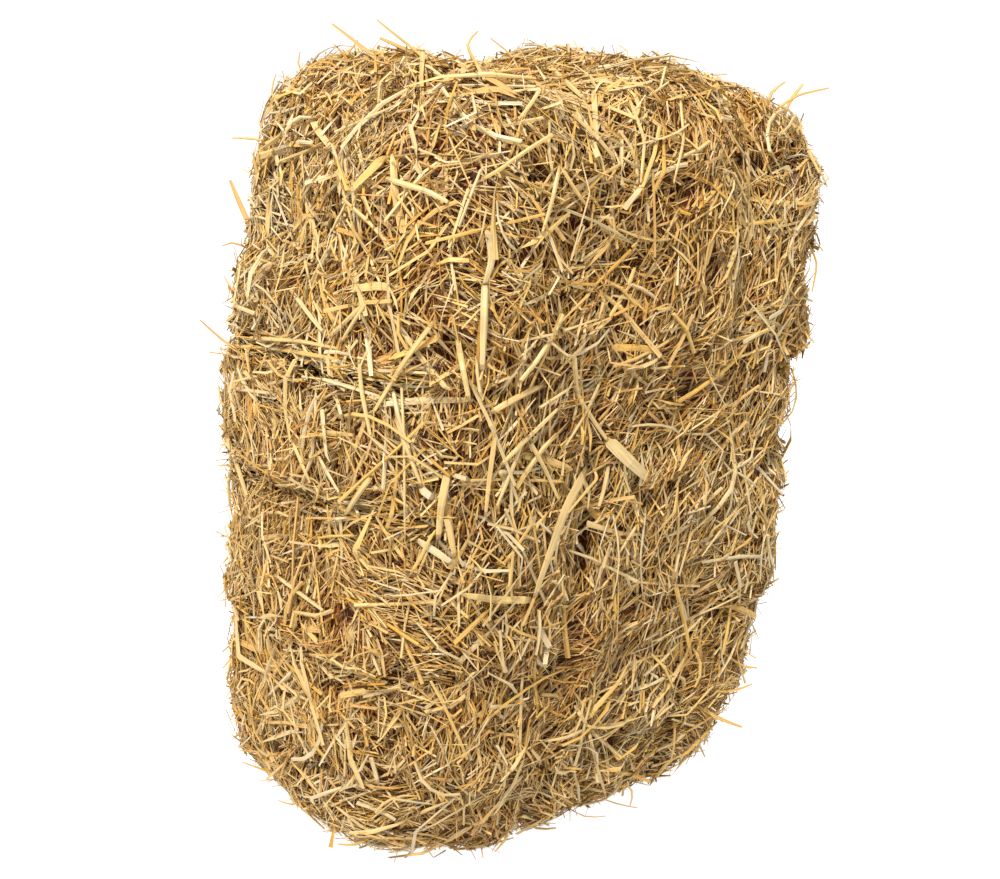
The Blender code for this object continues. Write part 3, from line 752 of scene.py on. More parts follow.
def coat_tree():
    tree = bpy.data.node_groups.new("lay_straw", "GeometryNodeTree")
    tree.is_modifier = True
    tree.interface.new_socket(name="Face", in_out="INPUT", socket_type="NodeSocketGeometry")
    for name, kind in COAT_INPUTS:
        tree.interface.new_socket(name=name, in_out="INPUT", socket_type="NodeSocket" + kind)
    tree.interface.new_socket(name="Straw", in_out="OUTPUT", socket_type="NodeSocketGeometry")
    given = tree.nodes.new("NodeGroupInput").outputs
    seed = given["Seed"]

    more = math_node(tree, "MULTIPLY", given["With coarseness"], read_attribute(tree, "coarse"))
    per_area = math_node(tree, "MULTIPLY", given["Per square metre"], read_attribute(tree, "full"))
    per_area = math_node(tree, "MULTIPLY", per_area, math_node(tree, "ADD", more, 1.0))
    scatter = add_node(tree, "GeometryNodeDistributePointsOnFaces",
                       {"Mesh": given["Face"], "Density": per_area, "Seed": seed},
                       distribute_method="RANDOM")
    normal = out(scatter, "Normal")
    lay = read_attribute(tree, "lay", "FLOAT_VECTOR")

    stand = add_node(tree, "FunctionNodeAlignRotationToVector", {"Vector": normal}, axis="Z")
    combed = add_node(tree, "FunctionNodeAlignRotationToVector", {"Rotation": out(stand), "Vector": lay},
                      axis="X", pivot_axis="Z")
    free_turn = math_node(tree, "MULTIPLY", given["Turn"], read_attribute(tree, "loose"))
    turn = math_node(tree, "MULTIPLY", free_turn, random_number(tree, -1.0, 1.0, seed, 1))
    tilt = math_node(tree, "MULTIPLY", given["Tilt"], random_number(tree, -1.0, 1.0, seed, 2))
    roll = math_node(tree, "MULTIPLY", given["Roll"], random_number(tree, -1.0, 1.0, seed, 3))
    angles = add_node(tree, "ShaderNodeCombineXYZ", {"X": roll, "Y": tilt, "Z": turn})
    own_turn = add_node(tree, "FunctionNodeEulerToRotation", {"Euler": out(angles)})
    rotation = add_node(tree, "FunctionNodeRotateRotation",
                        {"Rotation": out(combed), "Rotate By": out(own_turn)}, rotation_space="LOCAL")

    spare = math_node(tree, "POWER", random_number(tree, 0.0, 1.0, seed, 4), 1.6)
    length = math_node(tree, "ADD", given["Shortest"], math_node(
        tree, "MULTIPLY", spare, math_node(tree, "SUBTRACT", given["Longest"], given["Shortest"])))
    width = random_number(tree, given["Thinnest"], given["Thickest"], seed, 5)
    size = add_node(tree, "ShaderNodeCombineXYZ", {"X": length, "Y": width, "Z": width})
    height = random_number(tree, given["Deepest"], given["Highest"], seed, 6)
    lift = add_node(tree, "ShaderNodeVectorMath", {"Vector": normal, "Scale": height}, operation="SCALE")
    raised = add_node(tree, "GeometryNodeSetPosition",
                      {"Geometry": out(scatter, "Points"), "Offset": out(lift)})

    kinds = add_node(tree, "GeometryNodeCollectionInfo",
                     {"Collection": given["Straws"], "Separate Children": True, "Reset Children": True})
    which = math_node(tree, "FLOOR", math_node(
        tree, "MULTIPLY", random_number(tree, 0.0, 0.9999, seed, 7), given["Count of kinds"]))
    laid = add_node(tree, "GeometryNodeInstanceOnPoints",
                    {"Points": out(raised), "Instance": out(kinds), "Pick Instance": True,
                     "Instance Index": which, "Rotation": out(rotation), "Scale": out(size)})
    paleness = math_node(tree, "ADD", read_attribute(tree, "shade"),
                         random_number(tree, given["Darkest"], given["Palest"], seed, 8))
    number = math_node(tree, "ADD", given["First number"], out(add_node(tree, "GeometryNodeInputIndex")))
    straws = store_on_straws(tree, out(laid), "tint", paleness)
    straws = store_on_straws(tree, straws, "height", height)
    straws = store_on_straws(tree, straws, "straw", number, "INT")
    real = add_node(tree, "GeometryNodeRealizeInstances", {"Geometry": straws})

    near = add_node(tree, "GeometryNodeProximity", {"Geometry": given["Face"]}, target_element="FACES")
    off = out(near, "Distance")
    over = math_node(tree, "MAXIMUM", math_node(tree, "SUBTRACT", off, given["Free height"]), 0.0)
    fade = math_node(tree, "EXPONENT", math_node(
        tree, "MULTIPLY", math_node(tree, "DIVIDE", over, given["Bent height"]), -1.0))
    bent = math_node(tree, "MULTIPLY", math_node(tree, "SUBTRACT", 1.0, fade), given["Bent height"])
    kept = math_node(tree, "SUBTRACT", over, bent)
    here = add_node(tree, "GeometryNodeInputPosition")
    towards = add_node(tree, "ShaderNodeVectorMath", operation="SUBTRACT")
    tree.links.new(out(near, "Position"), towards.inputs[0])
    tree.links.new(out(here), towards.inputs[1])
    way = add_node(tree, "ShaderNodeVectorMath", {"Vector": out(towards)}, operation="NORMALIZE")
    pull = add_node(tree, "ShaderNodeVectorMath", {"Vector": out(way), "Scale": kept}, operation="SCALE")
    bent_back = add_node(tree, "GeometryNodeSetPosition", {"Geometry": out(real), "Offset": out(pull)})

    place = add_node(tree, "GeometryNodeInputPosition")
    up = out(add_node(tree, "ShaderNodeSeparateXYZ", {"Vector": out(place)}), "Z")
    sunk = math_node(tree, "DIVIDE", math_node(tree, "SUBTRACT", up, FLOOR_BAND), FLOOR_BAND)
    pressed = math_node(tree, "MULTIPLY", FLOOR_BAND, math_node(tree, "EXPONENT", math_node(
        tree, "MINIMUM", sunk, 0.0)))
    upward = math_node(tree, "SUBTRACT", math_node(tree, "MAXIMUM", up, pressed), up)
    upward = math_node(tree, "MULTIPLY", upward, math_node(tree, "LESS_THAN", sunk, 0.0))
    rise = add_node(tree, "ShaderNodeCombineXYZ", {"Z": upward})
    on_floor = add_node(tree, "GeometryNodeSetPosition", {"Geometry": out(bent_back), "Offset": out(rise)})
    finished = add_node(tree, "GeometryNodeSetMaterial",
                        {"Geometry": out(on_floor), "Material": given["Finish"]})
    tree.links.new(out(finished), tree.nodes.new("NodeGroupOutput").inputs[0])
    return tree


# Finish of the straw: each straw has its own shade between orange-brown and cream, streaked along
# its length and darkened with painted shade the deeper it lies, matt with a faint sheen.
def colour_mix(tree, blend, share, first, second):
    """Mixes two colours, each a socket or a plain red, green and blue."""
    made = tree.nodes.new("ShaderNodeMix")
    made.data_type = "RGBA"
    made.blend_type = blend
    for number, value in ((0, share), (6, first), (7, second)):
        if isinstance(value, bpy.types.NodeSocket):
            tree.links.new(value, made.inputs[number])
        else:
            made.inputs[number].default_value = value if number == 0 else (*value, 1.0)
    return made.outputs[2]


STRAW_TONES = ((0.00, (0.20, 0.070, 0.009)), (0.12, (0.30, 0.125, 0.019)), (0.35, (0.388, 0.211, 0.048)),
               (0.60, (0.445, 0.281, 0.084)), (0.82, (0.428, 0.309, 0.136)), (1.00, (0.430, 0.338, 0.190)))
# Painted shade: the colour and the depth over which straw below the face is darkened, standing in for
# shadow between straws.
SHADED_TONE = (0.42, 0.18, 0.030)
SHADED_DEPTH = 0.012


def straw_finish():
    finish = bpy.data.materials.new("dry_straw")
    finish.use_nodes = True
    tree = finish.node_tree
    shader = tree.nodes["Principled BSDF"]
    shader.inputs["Roughness"].default_value = 0.5
    shader.inputs["Specular IOR Level"].default_value = 0.4
    tint = out(add_node(tree, "ShaderNodeAttribute", attribute_name="tint"), "Fac")
    ramp = tree.nodes.new("ShaderNodeValToRGB")
    tree.links.new(tint, ramp.inputs["Fac"])
    ramp.color_ramp.elements[0].position = STRAW_TONES[0][0]
    ramp.color_ramp.elements[1].position = STRAW_TONES[-1][0]
    for place, _ in STRAW_TONES[1:-1]:
        ramp.color_ramp.elements.new(place)
    for element, (place, colour) in zip(ramp.color_ramp.elements, STRAW_TONES):
        element.position = place
        element.color = (*colour, 1.0)
    along = add_node(tree, "ShaderNodeUVMap", uv_map="strip")
    stretch = add_node(tree, "ShaderNodeMapping", {"Vector": out(along), "Scale": (4.0, 14.0, 1.0)})
    streaks = add_node(tree, "ShaderNodeTexNoise", {"Vector": out(stretch), "W": tint, "Scale": 1.0,
                                                    "Detail": 3.0}, noise_dimensions="4D")
    streak = add_node(tree, "ShaderNodeMapRange", {"Value": out(streaks), "From Min": 0.3, "From Max": 0.7,
                                                   "To Min": 0.70, "To Max": 1.15})
    own = add_node(tree, "ShaderNodeTexWhiteNoise", {"W": tint}, noise_dimensions="1D")
    strength = add_node(tree, "ShaderNodeMapRange",
                        {"Value": out(own, "Value"), "To Min": 0.93, "To Max": 1.10})
    toned = add_node(tree, "ShaderNodeHueSaturation",
                     {"Color": ramp.outputs["Color"], "Saturation": out(strength)})
    streaked = colour_mix(tree, "MULTIPLY", 1.0, out(toned), out(streak))
    # Painted shade: straw lying deeper under the face is multiplied towards a dark brown, as shadow between
    # straws.
    height = out(add_node(tree, "ShaderNodeAttribute", attribute_name="height"), "Fac")
    open_share = add_node(tree, "ShaderNodeMapRange",
                          {"Value": height, "From Min": -SHADED_DEPTH, "From Max": 0.000})
    painted_depth_shade = colour_mix(tree, "MIX", out(open_share), SHADED_TONE, (1.0, 1.0, 1.0))
    tree.links.new(colour_mix(tree, "MULTIPLY", 1.0, streaked, painted_depth_shade), shader.inputs["Base Color"])
    return finish


straw_material = straw_finish()
coat = coat_tree()
coat_sockets = {item.name: item.identifier for item in coat.interface.items_tree if item.in_out == "INPUT"}


def layer(straws, per_square_metre, lengths, widths, heights, turn, tilt, shades, coarse,
          roll=3.14, free=0.004, bent=0.006):
    """Inputs of the tree for one layer; free and bent say how far its straw may stand off."""
    return {"Straws": straws, "Count of kinds": len(straws.objects), "Per square metre": per_square_metre,
            "Shortest": lengths[0], "Longest": lengths[1], "Thinnest": widths[0], "Thickest": widths[1],
            "Deepest": heights[0], "Highest": heights[1], "Turn": turn, "Tilt": tilt, "Roll": roll,
            "Free height": free, "Bent height": bent, "Darkest": shades[0], "Palest": shades[1],
            "With coarseness": coarse}


COAT_LAYERS = (
    layer(chaff, 138000.0, (0.010, 0.036), (0.0008, 0.0020), (-0.014, 0.002), turn=0.50, tilt=0.30,
          shades=(0.14, 0.92), coarse=-0.35),
    layer(stems, 10500.0, (0.018, 0.060), (0.0015, 0.0032), (-0.007, 0.003), turn=1.0, tilt=0.20,
          shades=(0.30, 0.96), coarse=0.9),
    layer(stalks, 1200.0, (0.032, 0.100), (0.0022, 0.0042), (0.000, 0.004), turn=1.1, tilt=0.08,
          shades=(0.42, 0.96), coarse=0.8, free=0.005),
    layer(leaves, 240.0, (0.040, 0.090), (0.0038, 0.0062), (-0.001, 0.002), turn=1.6, tilt=0.08,
          shades=(0.30, 0.88), coarse=0.7, roll=0.5, free=0.003, bent=0.005),
    layer(stems, 3000.0, (0.018, 0.058), (0.0008, 0.0017), (0.000, 0.004), turn=3.14, tilt=1.1,
          shades=(0.10, 0.90), coarse=0.0, free=0.006, bent=0.012),
)


def lay_straw(skin, inputs, seed, first_number):
    """The straws of one layer on one flake, as a plain mesh."""
    carrier = make_object("carrier", skin)
    modifier = carrier.modifiers.new("lay straw", "NODES")
    modifier.node_group = coat
    for name, value in inputs.items():
        modifier[coat_sockets[name]] = value
    modifier[coat_sockets["Seed"]] = seed
    modifier[coat_sockets["First number"]] = first_number
    modifier[coat_sockets["Finish"]] = straw_material
    bpy.context.view_layer.update()
    seen = carrier.evaluated_get(bpy.context.evaluated_depsgraph_get())
    mesh = bpy.data.meshes.new_from_object(seen)
    bpy.data.objects.remove(carrier, do_unlink=True)
    return mesh


coats = []
straw_counts = []
for index in range(FLAKE_COUNT):
    body = masses[index]
    next_number = 0
    for number, inputs in enumerate(COAT_LAYERS):
        straw = lay_straw(skins[index], inputs, 100 * index + 10 * number + 7, next_number)
        numbers = np.zeros(len(straw.vertices), dtype=np.int32)
        straw.attributes["straw"].data.foreach_get("value", numbers)
        next_number = int(numbers.max()) + 1
        body.from_mesh(straw)
        bpy.data.meshes.remove(straw)
    coats.append(body)
    straw_counts.append(next_number)


# The long loose pieces that catch the eye on the sides in the photograph: stems and torn leaves that
# lie across the tufts, and ends that stand off the edges. Each path is read off the photograph, from
# the root outwards in pixels, and cast from the camera onto the bale.
def lying(*path, width, shade, flat=0.75, lift=0.0068):
    return {"path": path, "width": width, "shade": shade, "flat": flat, "lift": lift}


# Ends that stand off get darker shades than lying pieces: partly the tan of their own straw, partly painted
# shade, as thin ends with the pale surround behind them look darker.
def standing_off(*path, width, shade, flat=0.75):
    return {"path": path, "width": width, "shade": shade, "flat": flat, "lift": 0.0}


LOOSE_PIECES = {
    "stalk_on_left_lobe": lying((549, 66), (589, 103), width=0.0050, shade=0.66),
    "pale_stalk_by_notch": lying((594, 86), (597, 153), width=0.0052, shade=0.88),
    "leaf_on_left_lobe_upper": lying((455, 62), (490, 78), (523, 98), width=0.0085, shade=0.34, flat=0.15),
    "leaf_on_left_lobe_lower": lying((468, 92), (500, 88), (521, 100), width=0.0075, shade=0.30, flat=0.15),
    "bowed_stem_on_right_lobe": lying((628, 95), (645, 140), (640, 190), width=0.0030, shade=0.72),
    "second_bowed_stem": lying((680, 95), (684, 140), (672, 190), width=0.0028, shade=0.68),
    "left_arm_of_upper_v": lying((560, 165), (552, 202), (540, 240), width=0.0036, shade=0.70),
    "right_arm_of_upper_v": lying((560, 165), (574, 188), (590, 210), width=0.0034, shade=0.62),
    "long_stem_near_corner": lying((385, 178), (430, 192), (455, 206), width=0.0045, shade=0.74),
    "pale_leaf_near_corner": lying((487, 226), (493, 258), (483, 290), width=0.0062, shade=0.92, flat=0.2),
    "thick_upright_stalk": lying((485, 280), (484, 325), (482, 373), width=0.0056, shade=0.84),
    "stem_over_left_groove": lying((602, 378), (585, 415), (562, 452), width=0.0030, shade=0.80),
    "yellow_stalk_to_leaf": lying((574, 350), (577, 395), (600, 430), (612, 446), width=0.0046, shade=0.72),
    "pale_broad_leaf": lying((604, 436), (624, 456), (652, 482), width=0.0105, shade=0.90, flat=0.14,
                             lift=0.0090),
    "bent_yellow_leaf": lying((587, 468), (566, 508), (549, 556), (533, 600), width=0.0090, shade=0.72,
                              flat=0.15, lift=0.0130),
    "bent_yellow_leaf_end": lying((534, 600), (497, 600), (457, 594), width=0.0064, shade=0.76, flat=0.18,
                                  lift=0.0105),
    "left_arm_of_middle_v": lying((525, 434), (512, 470), (494, 513), width=0.0040, shade=0.74),
    "right_arm_of_middle_v": lying((527, 436), (546, 470), (562, 507), width=0.0038, shade=0.70),
    "upright_stem_by_v": lying((496, 430), (489, 482), (485, 520), width=0.0042, shade=0.66),
    "long_diagonal_lower": lying((498, 468), (530, 436), (563, 404), width=0.0040, shade=0.72),
    "long_diagonal_upper": lying((488, 414), (520, 396), (545, 384), width=0.0050, shade=0.70),
    "pale_short_stalk": lying((536, 516), (526, 534), width=0.0068, shade=0.95, flat=0.5),
    "pale_stalk_right_of_leaf": lying((609, 464), (604, 490), (597, 513), width=0.0036, shade=0.88),
    "stem_right_of_leaf": lying((639, 522), (626, 542), (614, 561), width=0.0032, shade=0.82),
    "thin_pale_stem": lying((646, 511), (640, 559), (643, 599), width=0.0020, shade=0.95),
    "orange_yellow_stalk": lying((674, 579), (684, 620), (692, 660), width=0.0050, shade=0.56),
    "yellow_upright_left": lying((448, 469), (441, 506), (438, 543), width=0.0060, shade=0.68, flat=0.3),
    "yellow_upright_right": lying((445, 511), (451, 536), (455, 561), width=0.0050, shade=0.70, flat=0.4),
    "pale_leaf_on_corner": lying((415, 539), (436, 552), (456, 566), width=0.0058, shade=0.95, flat=0.25),
    "pale_chip_on_corner": lying((450, 474), (473, 481), width=0.0036, shade=0.98, flat=0.3),
    "torn_scrap": lying((419, 484), (428, 498), (440, 498), width=0.0060, shade=1.0, flat=0.14),
    "thin_upright_on_corner": lying((401, 380), (404, 440), (405, 543), width=0.0022, shade=0.80),
    "stem_down_the_corner": lying((396, 420), (408, 452), (423, 490), width=0.0034, shade=0.80),
    "stem_beside_corner": lying((392, 386), (399, 420), (412, 457), width=0.0032, shade=0.84),
    "long_stem_left_of_corner": lying((359, 359), (361, 390), (372, 443), width=0.0036, shade=0.82),
    "long_diagonal_over_corner": lying((434, 321), (404, 362), (370, 418), width=0.0038, shade=0.76),
    "upright_leaf_on_corner": lying((457, 336), (463, 370), (470, 404), width=0.0044, shade=0.78, flat=0.3),
    "left_arm_of_side_v": lying((291, 290), (310, 316), (328, 338), width=0.0040, shade=0.84),
    "right_arm_of_side_v": lying((328, 338), (347, 320), (366, 301), width=0.0042, shade=0.76),
    "stem_right_of_side_v": lying((367, 301), (352, 324), (338, 347), width=0.0034, shade=0.80),
    "first_level_straw": lying((234, 346), (285, 350), (340, 360), width=0.0040, shade=0.60),
    "second_level_straw": lying((250, 338), (300, 341), (344, 350), width=0.0034, shade=0.66),
    "third_level_straw": lying((230, 388), (276, 394), width=0.0034, shade=0.84),
    "whitish_level_straw": lying((313, 361), (346, 361), width=0.0030, shade=1.0),
    "pale_leaf_on_crease": lying((306, 358), (330, 372), width=0.0066, shade=0.86, flat=0.2),
    "upper_stem_under_crease": lying((336, 396), (343, 422), width=0.0036, shade=0.86),
    "pale_stem_under_crease": lying((316, 389), (315, 422), width=0.0028, shade=0.94),
    "kinked_stem_first": lying((308, 412), (291, 437), width=0.0036, shade=0.78),
    "kinked_stem_second": lying((291, 438), (313, 490), width=0.0036, shade=0.76),
    "long_yellow_left_edge": lying((222, 425), (236, 462), (249, 503), width=0.0046, shade=0.72),
    "stem_to_lower_crease": lying((316, 451), (328, 474), (343, 500), width=0.0034, shade=0.74),
    "wide_stem_to_crease": lying((373, 474), (358, 494), (343, 518), width=0.0046, shade=0.78),
    "whitish_chip_low": lying((353, 503), (362, 522), width=0.0030, shade=1.0),
    "pale_stem_low_left": lying((275, 575), (302, 595), (329, 615), width=0.0036, shade=0.86),
    "whitish_stem_low_left": lying((294, 669), (265, 699), width=0.0034, shade=0.98),
    "pale_stem_near_foot": lying((369, 750), (380, 788), width=0.0040, shade=0.92),
    "middle_of_star": lying((575, 706), (590, 730), width=0.0044, shade=0.70),
    "right_arm_of_star": lying((588, 728), (608, 746), (627, 762), width=0.0040, shade=0.74),
    "lower_arm_of_star": lying((588, 728), (597, 766), (606, 797), width=0.0038, shade=0.70),
    "left_arm_of_star": lying((588, 728), (566, 738), (540, 742), width=0.0034, shade=0.68),
    "off_top_broad": standing_off((386, 66), (356, 42), (332, 24), width=0.0048, shade=0.34, flat=0.25),
    "off_top_stem": standing_off((440, 72), (405, 42), (393, 33), (377, 20), width=0.0026, shade=0.40),
    "off_top_level": standing_off((448, 66), (420, 56), (380, 38), width=0.0040, shade=0.43),
    "off_top_kinked": standing_off((486, 80), (465, 44), (478, 31), width=0.0026, shade=0.45),
    "off_notch": standing_off((526, 84), (511, 54), (490, 38), width=0.0022, shade=0.36),
    "off_top_right_first": standing_off((768, 108), (770, 92), (785, 82), width=0.0030, shade=0.47),
    "off_top_right_second": standing_off((772, 112), (797, 95), (829, 88), width=0.0024, shade=0.43),
    "off_top_right_third": standing_off((783, 120), (790, 100), (803, 84), width=0.0034, shade=0.55),
    "off_left_high": standing_off((272, 142), (250, 138), (232, 138), width=0.0024, shade=0.43),
    "off_left_broad": standing_off((250, 226), (240, 204), (230, 180), width=0.0052, shade=0.35, flat=0.2),
    "off_left_curl": standing_off((250, 250), (232, 240), (222, 246), width=0.0022, shade=0.23),
    "off_left_middle": standing_off((242, 352), (222, 340), (200, 320), width=0.0022, shade=0.28),
    "off_left_thin": standing_off((240, 356), (224, 354), (208, 352), width=0.0018, shade=0.28),
    "off_left_low": standing_off((246, 545), (232, 540), (216, 531), width=0.0022, shade=0.33),
    "off_foot_left_first": standing_off((285, 756), (262, 752), (240, 750), width=0.0026, shade=0.38),
    "off_foot_left_second": standing_off((290, 780), (264, 770), (242, 762), width=0.0028, shade=0.43),
    "off_foot_right_first": standing_off((694, 704), (722, 720), (742, 727), width=0.0040, shade=0.45,
                                         flat=0.25),
    "off_foot_right_second": standing_off((690, 728), (698, 742), (705, 757), width=0.0030, shade=0.39),
    "off_foot_right_third": standing_off((612, 772), (632, 774), (650, 782), width=0.0044, shade=0.43,
                                         flat=0.2),
    "off_foot_right_fourth": standing_off((596, 796), (616, 804), (638, 808), width=0.0036, shade=0.47,
                                          flat=0.25),
    "off_foot_right_fifth": standing_off((720, 650), (744, 668), (757, 668), width=0.0026, shade=0.50),
    "off_foot_right_sixth": standing_off((704, 690), (732, 692), (752, 684), width=0.0030, shade=0.52),
    "off_foot_right_seventh": standing_off((668, 738), (676, 746), (683, 742), width=0.0028, shade=0.44),
    "off_foot_right_eighth": standing_off((640, 752), (656, 748), (668, 752), width=0.0028, shade=0.40),
    "off_foot_right_ninth": standing_off((566, 806), (584, 818), (606, 816), width=0.0030, shade=0.48,
                                         flat=0.3),
    "off_foot_right_tenth": standing_off((620, 780), (634, 790), (630, 806), width=0.0024, shade=0.42),
    "off_foot_middle_first": standing_off((520, 818), (536, 830), (556, 828), width=0.0028, shade=0.50),
    "off_foot_middle_second": standing_off((372, 836), (356, 846), (338, 844), width=0.0026, shade=0.50),
    "off_foot_left_third": standing_off((268, 722), (250, 716), (236, 706), width=0.0022, shade=0.46),
    "off_foot_left_fourth": standing_off((306, 800), (292, 806), (278, 800), width=0.0022, shade=0.46),
    "off_left_upper": standing_off((282, 112), (270, 92), (276, 74), width=0.0022, shade=0.50),
    "off_left_shoulder": standing_off((305, 76), (296, 64), (300, 52), width=0.0022, shade=0.40),
    "off_left_grey": standing_off((246, 300), (232, 290), (224, 276), width=0.0020, shade=0.34),
    "off_left_under_crease": standing_off((236, 470), (226, 462), (216, 466), width=0.0020, shade=0.40),
    "off_top_grey": standing_off((352, 66), (342, 52), (334, 44), width=0.0018, shade=0.25),
    "off_top_crossing": standing_off((344, 60), (352, 48), (358, 40), width=0.0018, shade=0.25),
    "off_lobe_level": standing_off((432, 62), (448, 58), (464, 55), width=0.0022, shade=0.42),
    "off_right_high": standing_off((806, 240), (818, 262), (812, 292), width=0.0030, shade=0.49),
    "off_right_middle": standing_off((776, 400), (790, 392), (798, 376), width=0.0022, shade=0.43),
}
PATH_STEP_IN_PIXELS = 9.0
ROOT_DEPTH = 0.005
REACH_PAST_BOX = 0.008
PIECE_FLOOR_GAP = 0.002
PIECE_HEIGHT = 0.004
PIECE_SIDES = 6
PIECE_TWIST = 14.0


def photo_ray(x, y):
    """Direction from the camera through a pixel of the photograph."""
    ray = view_right * (x - PHOTO_WIDTH / 2) - view_up * (y - PHOTO_HEIGHT / 2)
    return (ray - back * FOCAL_LENGTH_IN_PIXELS).normalized()


def skin_surface():
    corners, faces = [], []
    for skin in skins:
        first = len(corners)
        corners += [vertex.co.copy() for vertex in skin.vertices]
        faces += [[first + number for number in face.vertices] for face in skin.polygons]
    return BVHTree.FromPolygons(corners, faces)


def soften(path):
    """The path in short steps with its bends eased, apart from its two ends."""
    steps = []
    for first, second in zip(path, path[1:]):
        count = max(1, round(math.dist(first, second) / PATH_STEP_IN_PIXELS))
        for share in (step / count for step in range(count)):
            steps.append([start + share * (end - start) for start, end in zip(first, second)])
    steps.append(path[-1])
    eased = [[(before + 2 * own + after) / 4 for before, own, after in zip(*near)]
             for near in zip(steps, steps[1:], steps[2:])]
    return [steps[0], *eased, steps[-1]]


def cast_piece(piece, surface):
    """Places of a loose piece in space, and the way its flat side faces at each."""
    pixels = soften(piece["path"])
    rays = [photo_ray(*pixel) for pixel in pixels]
    hits = [surface.ray_cast(eye, ray) for ray in rays]
    depths, facing = [], []
    last_normal = back
    near_root, _, _, _ = surface.find_nearest(eye + rays[0] * CAMERA_DISTANCE)
    last_depth = (near_root - eye).dot(-back)
    for ray, (spot, normal, _, _) in zip(rays, hits):
        if spot is not None:
            last_depth = (spot - eye).dot(-back)
            last_normal = normal
        depths.append(last_depth)
        facing.append(last_normal)
    for _ in range(3):
        eased = [min(own, (before + 2 * own + after) / 4)
                 for before, own, after in zip(depths, depths[1:], depths[2:])]
        depths = [depths[0], *eased, depths[-1]]
    count = len(rays)
    spots = []
    for number, (ray, depth) in enumerate(zip(rays, depths)):
        lift = piece["lift"]
        if number == 0 or (number == count - 1 and piece["lift"] > 0):
            lift = -ROOT_DEPTH if count > 2 else piece["lift"]
        spot = eye + ray * ((depth - lift) / ray.dot(-back))
        for axis in range(3):
            low, high = cad_box[0][axis] - REACH_PAST_BOX, cad_box[1][axis] + REACH_PAST_BOX
            within = min(high, max(low, spot[axis]))
            spot = spot + ray * ((within - spot[axis]) / ray[axis])
        spot.z = max(PIECE_FLOOR_GAP, spot.z)
        spots.append(spot)
    mean = sum(facing, Vector()).normalized()
    return spots, mean


surface = skin_surface()
for name, piece in LOOSE_PIECES.items():
    spots, facing = cast_piece(piece, surface)
    middle = spots[0] if piece["lift"] == 0 else spots[len(spots) // 2]
    index, _ = flake_at(middle.z)
    body = coats[index]
    strip = body.loops.layers.uv["strip"]
    tint, height = body.verts.layers.float["tint"], body.verts.layers.float["height"]
    own_number = body.verts.layers.int["straw"]
    first_face = len(body.faces)
    hoops = []
    places = []
    for number, spot in enumerate(spots):
        ahead = spots[min(number + 1, len(spots) - 1)] - spots[max(number - 1, 0)]
        across = ahead.cross(facing).normalized()
        upward = across.cross(ahead).normalized()
        share = number / (len(spots) - 1)
        taper = 1.0 - 0.45 * share ** 3 - 0.2 * (1.0 - share) ** 6
        hoops.append([body.verts.new(spot + across * y * piece["width"] + upward * z * piece["width"])
                      for y, z in straw_ring(taper, PIECE_TWIST * share, PIECE_SIDES, piece["flat"])])
        places.append(share)
    for hoop in hoops:
        for vertex in hoop:
            vertex[tint], vertex[height] = piece["shade"], PIECE_HEIGHT
            vertex[own_number] = straw_counts[index]
    close_straw(body, strip, hoops, places)
    body.faces.ensure_lookup_table()
    solid = bmesh.ops.triangulate(body, faces=body.faces[first_face:])["faces"]
    bmesh.ops.recalc_face_normals(body, faces=solid)
    straw_counts[index] += 1


def give_bake_map(mesh):
    """A second map in which every straw and every face of the mass has a small square of its own."""
    loops = len(mesh.loops)
    strip = np.zeros(loops * 2)
    mesh.uv_layers["strip"].data.foreach_get("uv", strip)
    corner = np.zeros(loops, dtype=np.int32)
    mesh.loops.foreach_get("vertex_index", corner)
    straw = np.zeros(len(mesh.vertices), dtype=np.int32)
    mesh.attributes["straw"].data.foreach_get("value", straw)
    mass_cell = np.zeros(len(mesh.polygons), dtype=np.int32)
    mesh.attributes["mass_cell"].data.foreach_get("value", mass_cell)
    mass_cell = np.repeat(mass_cell, 3)
    square = np.where(mass_cell > 0, mass_cell - 1, straw[corner] + mass_cell.max())
    per_row = math.ceil(math.sqrt(square.max() + 1))
    room = 0.10 + 0.80 * strip.reshape(-1, 2)
    places = (np.stack((square % per_row, square // per_row), axis=1) + room) / per_row
    mesh.uv_layers.new(name="OFBake").data.foreach_set("uv", places.ravel())


for index, body in enumerate(coats):
    mesh = bpy.data.meshes.new(f"flake_{index + 1}_straw")
    body.to_mesh(mesh)
    body.free()
    mesh.materials.append(straw_material)
    for used_up in ("lay", "loose", "shade", "full", "coarse", "id"):
        mesh.attributes.remove(mesh.attributes[used_up])
    give_bake_map(mesh)
    mesh.uv_layers["strip"].active_render = True
    flake = make_object(f"flake_{index + 1}_straw", mesh)
    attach(flake, "root")
    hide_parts(f"flake_{index + 1}")


# The two twines: sisal of two plies twisted together, each one a closed loop drawn tight around the
# bale in its grooves and tied with a plain knot on the back, its two short ends left loose.
TWINE_LIFT = 0.0034
PLY_RADIUS = 0.00115
PLY_OFFSET = 0.00095
PLY_SIDES = 5
TWIST_LENGTH = 0.014
STEPS_PER_TWIST = 6
KNOT_HEIGHT = 0.40
KNOT_RADII = (0.0048, 0.0042, 0.0075)
KNOT_LIFT = 0.0052
KNOT_TURNS = 2
STEPS_PER_KNOT_TURN = 12
TAIL_ROUTE = ((0.004, 0.004, -0.010), (0.007, 0.008, -0.030), (0.008, 0.009, -0.050))
END_LEVELS = (0.007, 0.026, 0.055)


